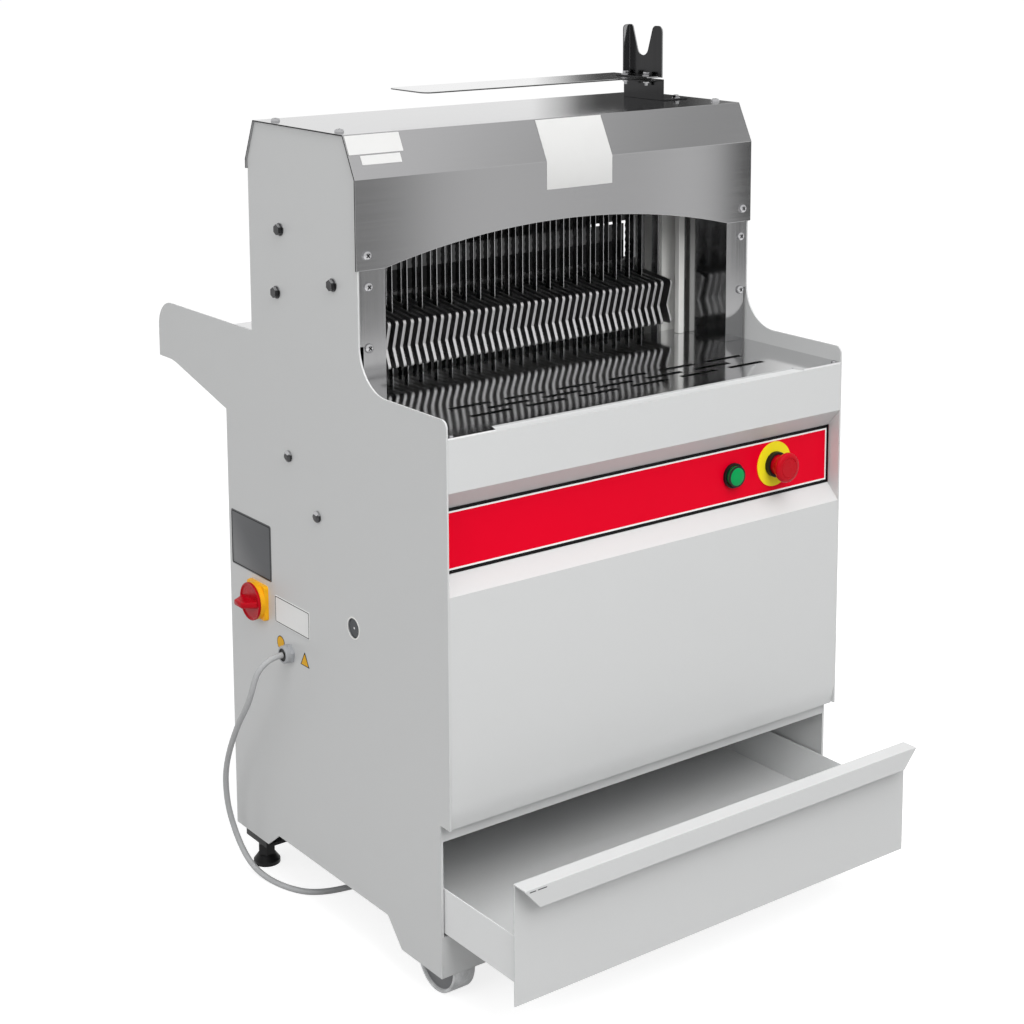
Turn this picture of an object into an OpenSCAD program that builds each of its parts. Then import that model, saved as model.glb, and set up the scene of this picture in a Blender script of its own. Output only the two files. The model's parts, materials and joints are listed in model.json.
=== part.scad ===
// Floor-standing bread slicer: sheet-metal cabinet, reciprocating blade frames, pusher comb and crumb drawer.
// Millimetres. +Z up, front face towards -Y, origin on the floor under the middle of the machine.

/* [Cabinet] */
// Width over the two side panels
body_w = 640; // [610:5:700]
// Thickness of the painted side panels
panel_t = 2.5; // [2:0.5:3.5]
// Thickness of the stainless hood, columns and front panel
sheet_t = 1.5; // [1:0.25:2]
// Thickness of the slotted table and the rear table
table_t = 2; // [1.5:0.5:3]
// Height of the table top above the floor
table_z = 714; // [700:1:724]
// Height of the side panels at the hood
hood_z = 1043; // [1030:1:1060]

/* [Slicing] */
// Slice thickness, the pitch of the blades and of the pusher fingers
slice = 11.7; // [10:0.1:14]
// Thickness of one pusher finger
finger_t = 4.75; // [3:0.25:5]
// Thickness of one blade
blade_t = 0.8; // [0.5:0.1:1]
// Width of one blade
blade_w = 10; // [8:0.5:12]
// Crank throw, half of the blade stroke
throw = 16; // [14:0.5:17]
// Diameter of the crankshaft
shaft_d = 25; // [20:1:28]
// Travel of the pusher from the front stop to the loading place
push_travel = 290; // [250:5:292]

/* [Drawer] */
// How far the drawer stands open
drawer_open = 146; // [100:1:200]
// Depth of the drawer tray
tray_l = 456; // [400:2:470]
// Height of the drawer tray's walls
tray_h = 57; // [40:1:70]

/* [Running gear] */
// Diameter of the front caster wheels
wheel_d = 80; // [65:1:84]
// Diameter of the levelling feet
foot_d = 37; // [30:1:44]

/* [Bag holder] */
// Length of the bag tray on the hood
bag_l = 390; // [300:5:430]
// Height of the fork above the bag tray
fork_h = 72; // [50:1:90]

/* [Fits] */
// Radial clearance of shafts and pins in their bores
run_fit = 0.05; // [0.02:0.01:0.1]
// Clearance between sliding faces
slide_gap = 0.3; // [0.2:0.05:0.5]

/* [Hidden] */
$fn = 64;
hw = body_w / 2;
fw = hw - panel_t;

// side panel outline
step_y = 20.5;
skirt_z = 41;
lower_z = 237;
throat_z = table_z + 21;
hood_y = 185.5;
hood_y2 = 449;
chamfer_z = hood_z - 51;
flap_z = chamfer_z - 12;
wing_z = table_z + 51;
rear_y = 525;
back_sheet_y = rear_y - 7;
vent_z = 380;
throat_r = 57;

// hood opening
arch_z = 916;
arch_end_z = 881.5;
arch_half = hw - 39;
arch_r = (arch_half * arch_half + pow(arch_z - arch_end_z, 2)) / (2 * (arch_z - arch_end_z));

// crumb slots in the table
slot_pitch = 83.3;
slot_l = 61;
slot_w = 9.5;

// folds of the front panel
fold_top = 648.5;
recess_top = 625;
recess_low = 545;
fold_low = 524;
hem_top = 262;
hem_low = 235.5;

// controls in the front trough
trough_z = 585;
start_x = hw - 177.5;
start_r = 14.2;
stop_x = hw - 104;
stop_z = 588;

// blades and pusher
blade_y = 326;
front_y = blade_y - throw;
back_y = blade_y + throw;
frame_d = 14;
frame_out = hw - 52;
frame_in = hw - 64;
beam_low = 606;
beam_high = 955;
beam_h = 24;
finger_half = floor((hw - 86) / slice);
blade_n = 2 * finger_half + 2;
tooth = 10;
guide_y = blade_y - 29;
guide_y2 = blade_y + 29;
guide_low = 640;
guide_top = 940;
comb_y = 265;
comb_back = 372;
comb_low = table_z + 17;
comb_bar = 8;
comb_knee = [comb_y + 10.5, table_z + 43];
comb_top = [comb_y, table_z + 80];
comb_foot = [comb_y, comb_low];
comb_end = [comb_back, table_z + 92];
rod_x = hw - 28;
rod_z = table_z + 26;
rod_r = 7;
bush_l = 32;
rod_end = comb_back + bush_l + push_travel + 4;

// rear table and wings, which reach past the end of the guide rods
rear_table_y = rod_end + 18;
wing_y = rear_table_y + 3;
wing_r = 38;

// drive
crank_z = 427;
bed_z = 347;
bed_y = 125;
bed_y2 = 440;
shaft_r = shaft_d / 2;
ecc_r = throw + shaft_r + 6.5;
eye_z = 558;
motor_y = 208;
motor_r = 70;
motor_l = 230;
front_rod_x = hw - 116;
rear_rod_x = hw - 96;
motor_x = -(front_rod_x - 34);
motor_shaft_r = 9.5;
belt_x = -(hw - 28);
pulley_r = 54;
motor_pulley_r = 27;
belt_t = 5;

// press plate
press_z = 812;
press_up = 100;
press_lip = 52;
stud_z = press_z + 53;
stud_x = 150;

// drawer, with the photo's opening as its rest place
drawer_y = 18.5 - drawer_open;
drawer_lip = 20.5;
tray_z = 99;
tray_x = fw - 2 - slide_gap;
skirt_top = tray_z - 5;

// casters and feet
caster_x = hw - 36;
caster_y = step_y + 3 + wheel_d / 2;
tread = 32;
fork_half = 17.5;
wheel_r = wheel_d / 2;
foot_x = hw - 24;
foot_y = 486;

// main switch on the left panel
switch_y = 445;
switch_z = 398;
switch_t = 12;
knob_out = 38;

// cord gland on the left panel
gland_y = 367;
gland_z = 346;
gland_l = 12;

// bag holder
hood_t = hood_z + sheet_t;
bag_x = hw - 67;
bag_z = hood_t + 30;
fork_y = 296;
fork_y2 = fork_y + 72;
fork_z = bag_z + 2;
fork_top = fork_z + fork_h;
fork_flange = 9.5;
notch_r = 12;
notch_w = 45;
notch_y = fork_y + 42;
notch_z = fork_top - 30.5;

// the origin: middle of the machine's box, on the floor
x_off = (knob_out - 2.5) / 2;
y_off = (wing_y + drawer_y - drawer_lip) / 2;

// supply cord: route of the free stretch and the coil under the cabinet
cord_r = 4;
cord_route = [
    [-hw - gland_l, 367, 346], [-hw - 16, 367, 346], [-hw - 24.8, 367.4, 344.8], [-hw - 33, 368.6, 341.4],
    [-hw - 39.8, 370.4, 336], [-hw - 45, 372.6, 328.6], [-hw - 48.2, 375.6, 318.5], [-hw - 49.8, 381.5, 302],
    [-hw - 50, 393.7, 279.4], [-hw - 49, 416.2, 250.8], [-hw - 47, 436.1, 224.6], [-hw - 44, 455.1, 198.1],
    [-hw - 40.5, 471.6, 172.9], [-hw - 37, 484.6, 147.3], [-hw - 32, 494.6, 120.4], [-hw - 27, 499.3, 92.5],
    [-hw - 21, 497.7, 63.5], [-hw - 15.5, 487.8, 36.3], [-hw - 11, 470, 16.5], [-hw - 7, 446, 7.2],
    [-hw - 2, 418, 4.5], [-hw + 6, 390, 4.5], [-hw + 20, 367, 4.5], [-hw + 44, 352, 4.5],
    [-hw + 72, 345, 4.5], [-hw + 100, 341, 4.5], [-hw + 130, 340, 4.5], [-hw + 160, 340, 4.5],
    [-hw + 190, 340, 4.5], [-hw + 210, 340, 4.5]];
coil_step = 8.6;
coil_out = 52.6;
coil_x = -hw + 218;
coil_y = 340 - coil_out;
coil_z1 = 4.5;
coil_z2 = coil_z1 + 8.7;
coil_turn = 24;
plug_r = 18.5;
plug_z = plug_r + 0.3;
plug_x = coil_x - 62;

// radius and height of a ring of the coil: it spirals in on the floor, climbs, and spirals out on top
function coil_r(i) = coil_out - coil_step * min(i, 4.5 * coil_turn - i) / coil_turn;
function coil_h(i) =
    i <= 2 * coil_turn ? coil_z1 :
    i >= 2.5 * coil_turn ? coil_z2 :
    coil_z1 + (coil_z2 - coil_z1) * (1 - cos(180 * (i / coil_turn - 2) / 0.5)) / 2;
coil_loops = [for (i = [0 : 4.5 * coil_turn])
    let (a = 90 - 360 * i / coil_turn)
    [coil_x + coil_r(i) * cos(a), coil_y + coil_r(i) * sin(a), coil_h(i)]];
coil_tail = [
    [coil_x - 12, coil_y - coil_out, coil_z2], [coil_x - 24, coil_y - coil_out, coil_z2 + 1.5],
    [coil_x - 36, coil_y - coil_out, plug_z - 1.5], [coil_x - 48, coil_y - coil_out, plug_z],
    [plug_x, coil_y - coil_out, plug_z]];
coil_route = concat([[-hw + 210, 340, coil_z1]], coil_loops, coil_tail);
coil_gap = min([for (i = [0 : 4 * coil_turn])
    for (j = [i + coil_turn / 2 : 4.5 * coil_turn])
        norm(coil_loops[i] - coil_loops[j])]) - 2 * cord_r;
echo(least_coil_gap = coil_gap);

module place() translate([x_off, -y_off, 0]) children();

// an outline in Y and Z, drawn as a plate of thickness t from x0
module yz(x0, t) translate([x0, 0, 0]) rotate([90, 0, 90]) linear_extrude(t) children();

// an outline in X and Z, drawn as a plate of thickness t from y0
module xz(y0, t) translate([0, y0 + t, 0]) rotate([90, 0, 0]) linear_extrude(t) children();

// a box between two corners
module box(a, b) translate(a) cube(b - a);

// round bars along X and along Y
module xcyl(x0, l, y, z, r) translate([x0, y, z]) rotate([0, 90, 0]) cylinder(h = l, r = r);
module ycyl(y0, l, x, z, r) translate([x, y0, z]) rotate([-90, 0, 0]) cylinder(h = l, r = r);

// the same piece on the right and, mirrored, on the left
module pair() {
    children();
    mirror([1, 0, 0]) children();
}

// a tube swept along points, its sides kept from twisting
function unit(v) = v / norm(v);
function heading(p, i) = unit(p[min(i + 1, len(p) - 1)] - p[max(i - 1, 0)]);
function carried(p, i, n) =
    let (t = heading(p, i))
    let (m = unit(n - (n * t) * t))
    i == len(p) - 1 ? [m] : concat([m], carried(p, i + 1, m));
module tube(p, r, sides) {
    n = carried(p, 0, [0, 0, 1]);
    points = [for (i = [0 : len(p) - 1])
        let (t = heading(p, i))
        let (b = cross(t, n[i]))
        for (k = [0 : sides - 1])
            p[i] + r * (cos(360 * k / sides) * n[i] + sin(360 * k / sides) * b)];
    walls = [for (i = [0 : len(p) - 2])
        for (k = [0 : sides - 1])
            let (a = i * sides + k)
            let (c = i * sides + (k + 1) % sides)
            [a, a + sides, c + sides, c]];
    first = [[for (k = [0 : sides - 1]) k]];
    last = [[for (k = [sides - 1 : -1 : 0]) (len(p) - 1) * sides + k]];
    polyhedron(points, concat(first, walls, last));
}

// points of an arc about c
function turn(p, q, t, r, n) =
    let (
        u = (p - q) / norm(p - q), v = (t - q) / norm(t - q), h = acos(u * v) / 2,
        c = q + (u + v) / norm(u + v) * r / sin(h), e = q + u * r / tan(h) - c, f = q + v * r / tan(h) - c,
        a = atan2(e[1], e[0]), b = atan2(f[1], f[0]), d = (b - a + 540) % 360 - 180)
    [for (i = [0 : n]) c + r * [cos(a + d * i / n), sin(a + d * i / n)]];

// points of an arc about c from angle a0 to a1
function arc(c, r, a0, a1, n) = [for (i = [0 : n])
    let (a = a0 + (a1 - a0) * i / n)
    c + r * [cos(a), sin(a)]];

// the outline of both side panels, in Y and Z
module side_outline() polygon(concat(
    [[step_y, skirt_z], [step_y, lower_z], [0, lower_z]],
    arc([10, throat_z - 10], 10, 180, 90, 8),
    arc([hood_y - throat_r, throat_z + throat_r], throat_r, 270, 360, 24),
    [[hood_y, chamfer_z], [hood_y + 25.5, hood_z], [hood_y2 - 21.5, hood_z], [hood_y2, chamfer_z],
    [hood_y2, wing_z]],
    arc([wing_y - wing_r, wing_z - wing_r], wing_r, 90, 0, 16),
    [[wing_y, wing_z - 81], [wing_y - 36, wing_z - 81], [wing_y - 49, wing_z - 83], [rear_y, wing_z - 121],
    [rear_y, 51], [438, 51], [408, 74], [139, 74], [108, skirt_z]]));

module left_side_panel() color([0.86, 0.87, 0.87]) place() difference() {
    yz(-hw, panel_t) side_outline();
    xcyl(-hw - 1, panel_t + 2, motor_y, crank_z, 13.5);
    xcyl(-hw - 1, panel_t + 2, gland_y, gland_z, 8);
    xcyl(-hw - 1, panel_t + 2, switch_y, switch_z, 12);
}

module right_side_panel() color([0.86, 0.87, 0.87]) place() yz(fw, panel_t) side_outline();

// folded front panel with the trough for the controls
module front_panel() color([0.86, 0.87, 0.87]) place() difference() {
    yz(-fw, 2 * fw) {
        polygon([
            [0, table_z - table_t], [0, fold_top], [step_y, recess_top], [step_y, recess_low], [0, fold_low],
            [0, hem_top], [6, hem_low], [6 + sheet_t, hem_low], [sheet_t, hem_top], [sheet_t, fold_low],
            [step_y + sheet_t, recess_low], [step_y + sheet_t, recess_top], [sheet_t, fold_top],
            [sheet_t, table_z - table_t]]);
        translate([0, table_z - table_t - sheet_t]) square([32, sheet_t]);
        translate([6, hem_low]) square([20, sheet_t]);
    }
    ycyl(10, 20, start_x, trough_z, 11.2);
    ycyl(10, 20, stop_x, stop_z, 11.2);
}

module control_strip() color([0.88, 0, 0.16]) place() xz(step_y - 0.8, 0.8) difference() {
    translate([-fw, recess_low + 1]) square([2 * fw, recess_top - recess_low - 2]);
    translate([start_x, trough_z]) circle(11.2);
    translate([stop_x, stop_z]) circle(11.2);
}

// bent hood with chamfers front and rear and the arched front opening
module hood() color([0.62, 0.62, 0.63]) place() difference() {
    yz(-hw - 2.5, body_w + 5) polygon([
        [hood_y - sheet_t, arch_end_z], [hood_y - sheet_t, chamfer_z + 0.235 * sheet_t],
        [hood_y + 25.5 - 0.613 * sheet_t, hood_t], [hood_y2 - 21.5 + 0.66 * sheet_t, hood_t],
        [hood_y2 + sheet_t, chamfer_z + 0.18 * sheet_t], [hood_y2 + sheet_t, flap_z], [hood_y2, flap_z],
        [hood_y2, chamfer_z], [hood_y2 - 21.5, hood_z], [hood_y + 25.5, hood_z], [hood_y, chamfer_z],
        [hood_y, arch_end_z]]);
    ycyl(hood_y - 10, 20, 0, arch_z - arch_r, arch_r);
}

// rear wall of the hood, slotted for the press plate's studs
module hood_rear_panel() color([0.62, 0.62, 0.63]) place() difference() {
    box([-fw, hood_y2 - 2, 850], [fw, hood_y2, flap_z + 10]);
    pair() {
        box([stud_x - 4.4, hood_y2 - 3, stud_z], [stud_x + 4.4, hood_y2 + 1, stud_z + press_up]);
        ycyl(hood_y2 - 3, 4, stud_x, stud_z, 4.4);
        ycyl(hood_y2 - 3, 4, stud_x, stud_z + press_up, 4.4);
    }
}

// angle columns that stand on the table at both sides of the opening
module columns() color([0.6, 0.6, 0.61]) place() pair() difference() {
    union() {
        box([hw - 40, hood_y, table_z], [fw, hood_y + sheet_t, 900]);
        box([hw - 40, hood_y, table_z], [hw - 40 + sheet_t, 285, 900]);
    }
    box([fw - 5, hood_y - 1, table_z - 1], [fw + 1, hood_y + 10, 788]);
}

module guard_posts() color([0.88, 0.88, 0.87]) place() pair()
    box([hw - 55, comb_y + 2, table_z], [hw - 45, comb_y + 12, 945]);

// slotted table where the sliced loaf comes out
module table() color([0.66, 0.66, 0.67]) place() translate([0, 0, table_z - table_t]) linear_extrude(table_t)
    difference() {
        polygon([
            [-fw, 0.5], [-hw + 70, 0.5], [-hw + 75, 16], [hw - 75, 16], [hw - 70, 0.5], [fw, 0.5],
            [fw, 296], [-fw, 296]]);
        for (k = [-2.5 : 2.5]) {
            translate([slot_pitch * k, 111]) square([slot_l, slot_w], center = true);
            translate([slot_pitch * k, 67]) square([slot_l, slot_w], center = true);
        }
        for (k = [-2 : 2])
            translate([slot_pitch * k, 88]) square([slot_l, slot_w], center = true);
    }

module rear_table() color([0.66, 0.66, 0.67]) place()
    box([-fw, 356, table_z - table_t], [fw, rear_table_y, table_z]);

// back sheet with vent slots behind the motor
module rear_panel() color([0.84, 0.85, 0.85]) place() difference() {
    box([-fw, back_sheet_y, 56], [fw, back_sheet_y + 2, table_z - table_t]);
    for (k = [0 : 6])
        box([-90, back_sheet_y - 1, vent_z + 16 * k], [90, back_sheet_y + 3, vent_z + 16 * k + 6]);
}

// front cross channel under the drawer, which carries the casters
module front_skirt() color([0.84, 0.85, 0.85]) place() {
    box([-fw, step_y, skirt_z], [fw, step_y + 2, skirt_top]);
    box([-fw, step_y, skirt_top - 2], [fw, 105, skirt_top]);
}

// shelf across the cabinet that carries the motor and the crankshaft, notched for the cord gland
module drive_bed() color([0.45, 0.46, 0.47]) place() difference() {
    union() {
        box([-fw, bed_y, bed_z - 4], [fw, bed_y2, bed_z]);
        box([-fw, bed_y, bed_z - 30], [fw, bed_y + 4, bed_z]);
        box([-fw, bed_y2 - 4, bed_z - 30], [fw, bed_y2, bed_z]);
    }
    box([-fw - 1, gland_y - 18, bed_z - 31], [-hw + 24, gland_y + 18, bed_z + 1]);
}

module drawer_runners() color([0.7, 0.71, 0.72]) place() pair() {
    box([fw - 22, 25, tray_z - slide_gap - 2], [fw, 505, tray_z - slide_gap]);
    box([fw - 2, 25, tray_z - slide_gap - 2], [fw, 505, tray_z + 22]);
}

// brackets inside the hood that carry the guides of the blade frames
module guide_plates() color([0.5, 0.5, 0.51]) place() pair() {
    box([hw - 35, guide_y, guide_low], [hw - 31, guide_y2, guide_top]);
    box([hw - 35, guide_y, guide_low], [fw, guide_y + 4, guide_top]);
    box([hw - 35, guide_y2 - 4, guide_low], [fw, guide_y2, guide_top]);
    box([fw - 4, 236, 800], [fw, 385, 935]);
}

// plastic guides: three tongues keep the two blade frames apart
module frame_guides() color([0.9, 0.9, 0.88]) place() pair() {
    box([frame_out + slide_gap, guide_y, guide_low + 10], [hw - 35, guide_y2, guide_top - 10]);
    box([frame_in + 2, guide_y, guide_low + 10], [hw - 35, front_y - frame_d / 2 - slide_gap, guide_top - 10]);
    box([frame_in + 2, front_y + frame_d / 2 + slide_gap, guide_low + 10],
        [hw - 35, back_y - frame_d / 2 - slide_gap, guide_top - 10]);
    box([frame_in + 2, back_y + frame_d / 2 + slide_gap, guide_low + 10], [hw - 35, guide_y2, guide_top - 10]);
}

module guide_rods() color([0.75, 0.75, 0.76]) place() pair()
    ycyl(355, rod_end - 355, rod_x, rod_z, rod_r);

module rod_blocks() color([0.35, 0.36, 0.37]) place() pair()
    box([rod_x - 11, rod_end, table_z], [rod_x + 11, rod_end + 10, rod_z + 8]);

// foot-mounted motor
module motor() color([0.32, 0.36, 0.4]) place() difference() {
    union() {
        xcyl(motor_x, motor_l, motor_y, crank_z, motor_r);
        xcyl(motor_x - 10, 10, motor_y, crank_z, motor_r - 8);
        xcyl(motor_x + motor_l, 24, motor_y, crank_z, motor_r - 4);
        for (x = [motor_x + 40, motor_x + motor_l - 70])
            box([x, motor_y - 62, bed_z], [x + 36, motor_y + 62, bed_z + 14]);
        box([motor_x + 60, motor_y - 30, crank_z + 40], [motor_x + 160, motor_y + 30, crank_z + 108]);
        for (k = [0 : 10])
            xcyl(motor_x + 10 + 20 * k, 4, motor_y, crank_z, motor_r + 5);
    }
    xcyl(motor_x - 11, 26, motor_y, crank_z, motor_shaft_r + run_fit);
}

module bearing_blocks() color([0.4, 0.42, 0.44]) place() pair() difference() {
    union() {
        box([hw - 80, blade_y - 24, bed_z], [hw - 58, blade_y + 24, crank_z]);
        box([hw - 80, blade_y - 46, bed_z], [hw - 58, blade_y + 46, bed_z + 14]);
        xcyl(hw - 80, 22, blade_y, crank_z, 24);
    }
    xcyl(hw - 81, 24, blade_y, crank_z, shaft_r + run_fit);
}

// the space inside a belt that runs round two pulleys of radius a and b
module belt_outline(a, b) {
    lean = asin((b - a) / (blade_y - motor_y));
    polygon(concat(
        arc([motor_y, crank_z], a, 90 + lean, 270 - lean, 24),
        arc([blade_y, crank_z], b, -90 - lean, 90 + lean, 40)));
}

module drive_belt() color([0.1, 0.1, 0.1]) place() yz(belt_x + 3.5, 13) difference() {
    belt_outline(motor_pulley_r + slide_gap + belt_t, pulley_r + slide_gap + belt_t);
    belt_outline(motor_pulley_r + slide_gap, pulley_r + slide_gap);
}

// fixed casters with their axles
module caster_brackets() color([0.72, 0.73, 0.74]) place() pair() {
    box([caster_x - 26, caster_y - 36, skirt_top - 6], [caster_x + 26, caster_y + 36, skirt_top - 2]);
    for (x = [-fork_half - 3, fork_half])
        box([caster_x + x, caster_y - 14, wheel_r - 10], [caster_x + x + 3, caster_y + 14, skirt_top - 6]);
    xcyl(caster_x - 23, 46, caster_y, wheel_r, 6);
}

module wheel() difference() {
    union() {
        difference() {
            xcyl(caster_x - tread / 2, tread, caster_y, wheel_r, wheel_r);
            for (x = [-tread / 2 - 1, tread / 2 - 4])
                xcyl(caster_x + x, 5, caster_y, wheel_r, wheel_r - 4);
        }
        xcyl(caster_x - fork_half + 0.3, 2 * fork_half - 0.6, caster_y, wheel_r, 13);
    }
    xcyl(caster_x - fork_half, 2 * fork_half, caster_y, wheel_r, 6 + run_fit);
}

module left_wheel() color([0.55, 0.56, 0.57]) place() mirror([1, 0, 0]) wheel();
module right_wheel() color([0.55, 0.56, 0.57]) place() wheel();

module rear_foot_brackets() color([0.08, 0.08, 0.08]) place() pair() difference() {
    union() {
        box([foot_x - 26, foot_y - 38, 40], [fw, foot_y + 18, 45]);
        box([fw - 4, foot_y - 38, 40], [fw, foot_y + 18, 95]);
    }
    translate([foot_x, foot_y, 39]) cylinder(h = 7, r = 5.3);
}

module levelling_feet() color([0.08, 0.08, 0.08]) place() pair() translate([foot_x, foot_y, 0]) {
    cylinder(h = 5, r = foot_d / 2);
    translate([0, 0, 5]) cylinder(h = 8, r1 = foot_d / 2, r2 = 12.5);
    translate([0, 0, 12]) cylinder(h = 15, r = 12.5, $fn = 6);
    translate([0, 0, 26]) cylinder(h = 14, r = 11);
    cylinder(h = 72, r = 5);
    translate([0, 0, 45]) cylinder(h = 6, r = 9.5, $fn = 6);
}

// main switch: square plate, round collar and the contact block behind the panel
module switch_plate() color([0.97, 0.7, 0.15]) place() difference() {
    union() {
        box([-hw - switch_t, switch_y - 24, switch_z - 24], [-hw, switch_y + 24, switch_z + 24]);
        xcyl(-hw - switch_t - 4, 5, switch_y, switch_z, 20);
        xcyl(-hw - 1, 34, switch_y, switch_z, 11.5);
        box([-hw + panel_t, switch_y - 22, switch_z - 22], [-hw + 40, switch_y + 22, switch_z + 22]);
    }
    xcyl(-hw - switch_t - 5, 16, switch_y, switch_z, 4 + run_fit);
}

module switch_knob() color([0.75, 0.06, 0.06]) place() {
    xcyl(-hw - switch_t - 12, 8 - slide_gap, switch_y, switch_z, 17);
    xcyl(-hw - switch_t - 13, 20, switch_y, switch_z, 4);
    box([-hw - knob_out, switch_y - 16, switch_z - 5], [-hw - switch_t - 11, switch_y + 16, switch_z + 5]);
}

// gland: hexagon on the panel and a domed nut
module cable_gland() color([0.6, 0.61, 0.62]) place() translate([-hw, gland_y, gland_z]) rotate([0, -90, 0])
    difference() {
        union() {
            cylinder(h = 5, r = 12, $fn = 6);
            translate([0, 0, 5]) cylinder(h = gland_l - 5, r1 = 10, r2 = 7.5);
            translate([0, 0, -14]) cylinder(h = 15, r = 7.5);
            translate([0, 0, -panel_t - 5]) cylinder(h = 5, r = 12, $fn = 6);
        }
        translate([0, 0, -15]) cylinder(h = 15 + gland_l - 2, r = 5);
    }

module estop_ring() color([0.95, 0.86, 0.2]) place() translate([stop_x, step_y - 0.8, stop_z]) rotate([90, 0, 0])
    difference() {
        cylinder(h = 1.5, r = 30);
        translate([0, 0, -1]) cylinder(h = 4, r = 13.8);
    }

// black collars round the start button and the stop button
module button_collars() color([0.07, 0.07, 0.07]) place() {
    translate([start_x, step_y - 0.8, trough_z]) rotate([90, 0, 0]) difference() {
        cylinder(h = 5, r = start_r + 2.3);
        translate([0, 0, -1]) cylinder(h = 7, r = start_r + 0.3);
    }
    translate([stop_x, step_y - 2.3, stop_z]) rotate([90, 0, 0]) difference() {
        cylinder(h = 7.5, r = 17);
        translate([0, 0, -1]) cylinder(h = 10, r = 13.8);
    }
}

// contact blocks behind the panel
module contact_blocks() color([0.2, 0.2, 0.21]) place() for (c = [[start_x, trough_z], [stop_x, stop_z]])
    difference() {
        box([c[0] - 15, step_y + sheet_t, c[1] - 15], [c[0] + 15, 62, c[1] + 15]);
        ycyl(step_y, 20, c[0], c[1], 8 + run_fit);
    }

module start_button() color([0, 0.55, 0.3]) place() {
    ycyl(9.5, 5.3, start_x, trough_z, start_r);
    ycyl(14.5, 3.5, start_x, trough_z, 11);
    ycyl(17, 14, start_x, trough_z, 8);
}

module estop_stem() color([0.3, 0.3, 0.3]) place() {
    ycyl(14, 18, stop_x, stop_z, 8);
    ycyl(-2, 17, stop_x, stop_z, 5);
}

// mushroom head that twists on its stem
module estop_head() color([0.8, 0.05, 0.07]) place() translate([stop_x, 14, stop_z]) rotate([90, 0, 0])
    difference() {
        union() {
            cylinder(h = 15, r = 13.4);
            translate([0, 0, 14]) cylinder(h = 4, r1 = 17.5, r2 = 20);
            translate([0, 0, 18]) cylinder(h = 3, r = 20);
            translate([0, 0, 21]) cylinder(h = 3, r1 = 20, r2 = 16);
        }
        translate([0, 0, -1]) cylinder(h = 17.2, r = 5 + run_fit);
    }

// stepped bracket on the hood that carries the bag tray
module bag_bracket() color([0.5, 0.5, 0.51]) place() {
    box([bag_x, 291, hood_t], [bag_x + 2, 377, bag_z]);
    box([bag_x, 291, hood_t], [bag_x + 46, 377, hood_t + 2]);
    box([bag_x - 32, 291, bag_z - 2], [bag_x + 2, 377, bag_z]);
}

// long flat tray with rounded ends
module bag_tray() color([0.7, 0.7, 0.71]) place() translate([0, 0, bag_z]) linear_extrude(2) {
    box2([bag_x + 9 - bag_l + 12, 320], [bag_x + 9, 410]);
    box2([bag_x + 9 - bag_l, 332], [bag_x + 9, 398]);
    translate([bag_x + 21 - bag_l, 332]) circle(12);
    translate([bag_x + 21 - bag_l, 398]) circle(12);
}
module box2(a, b) translate(a) square(b - a);

// upright fork that the bags hang on
module bag_fork() color([0.35, 0.35, 0.36]) place() {
    yz(bag_x + 2, 2) polygon(concat(
        [[fork_y, fork_z]],
        turn([fork_y, fork_z], [fork_y, fork_top], [notch_y, fork_top], 8, 6),
        turn([fork_y, fork_top], [notch_y - notch_w / 2, fork_top], [notch_y - notch_r, notch_z], 8, 6),
        arc([notch_y, notch_z], notch_r, 194, 346, 16),
        turn([notch_y + notch_r, notch_z], [notch_y + notch_w / 2, fork_top], [fork_y2, fork_top], 5, 5),
        [[fork_y2, fork_top], [fork_y2, fork_z]]));
    xz(fork_y2 - 2, 2) polygon(concat(
        [[bag_x - fork_flange, fork_z], [bag_x + 4, fork_z], [bag_x + 4, fork_top]],
        turn([bag_x + 4, fork_top], [bag_x - fork_flange, fork_top], [bag_x - fork_flange, fork_z], 6, 5)));
    box([bag_x - 22, 300, fork_z], [bag_x + 4, fork_y2, fork_z + 2]);
}

// bolt heads on both side panels
module on_side(y, z) translate([hw, y, z]) rotate([0, 90, 0]) children();
module side_bolts() color([0.7, 0.7, 0.71]) place() pair() {
    for (p = [[368, 910], [379.5, 827], [241.5, 857]])
        on_side(p[0], p[1]) {
            cylinder(h = 1.5, r = 8.5);
            cylinder(h = 6.5, r = 7.2, $fn = 6);
        }
    for (p = [[358, 615], [289, 551]])
        on_side(p[0], p[1]) {
            cylinder(h = 3, r = 7.5);
            translate([0, 0, 3]) cylinder(h = 2.5, r1 = 7.5, r2 = 4);
        }
}

module cord_run() color([0.72, 0.73, 0.74]) place() tube(cord_route, cord_r, 8);

module cord_coil() color([0.72, 0.73, 0.74]) place() tube(coil_route, cord_r, 6);

// round plug on the end of the cord
module cord_plug() color([0.25, 0.25, 0.26]) place()
    translate([plug_x, coil_y - coil_out, plug_z]) rotate([0, -90, 0]) {
    cylinder(h = 18, r1 = 6, r2 = 9);
    translate([0, 0, 18]) cylinder(h = 40, r = plug_r);
    for (s = [-9.5, 9.5])
        translate([0, s, 58]) cylinder(h = 19, r = 2.4);
}

// drawer tray, open at the top
module drawer_tray() color([0.84, 0.85, 0.85]) place() difference() {
    box([-tray_x, drawer_y + 2, tray_z], [tray_x, drawer_y + tray_l, tray_z + tray_h]);
    box([-tray_x + 1.5, drawer_y + 3.5, tray_z + 1.5],
        [tray_x - 1.5, drawer_y + tray_l - 1.5, tray_z + tray_h + 1]);
}

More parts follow.
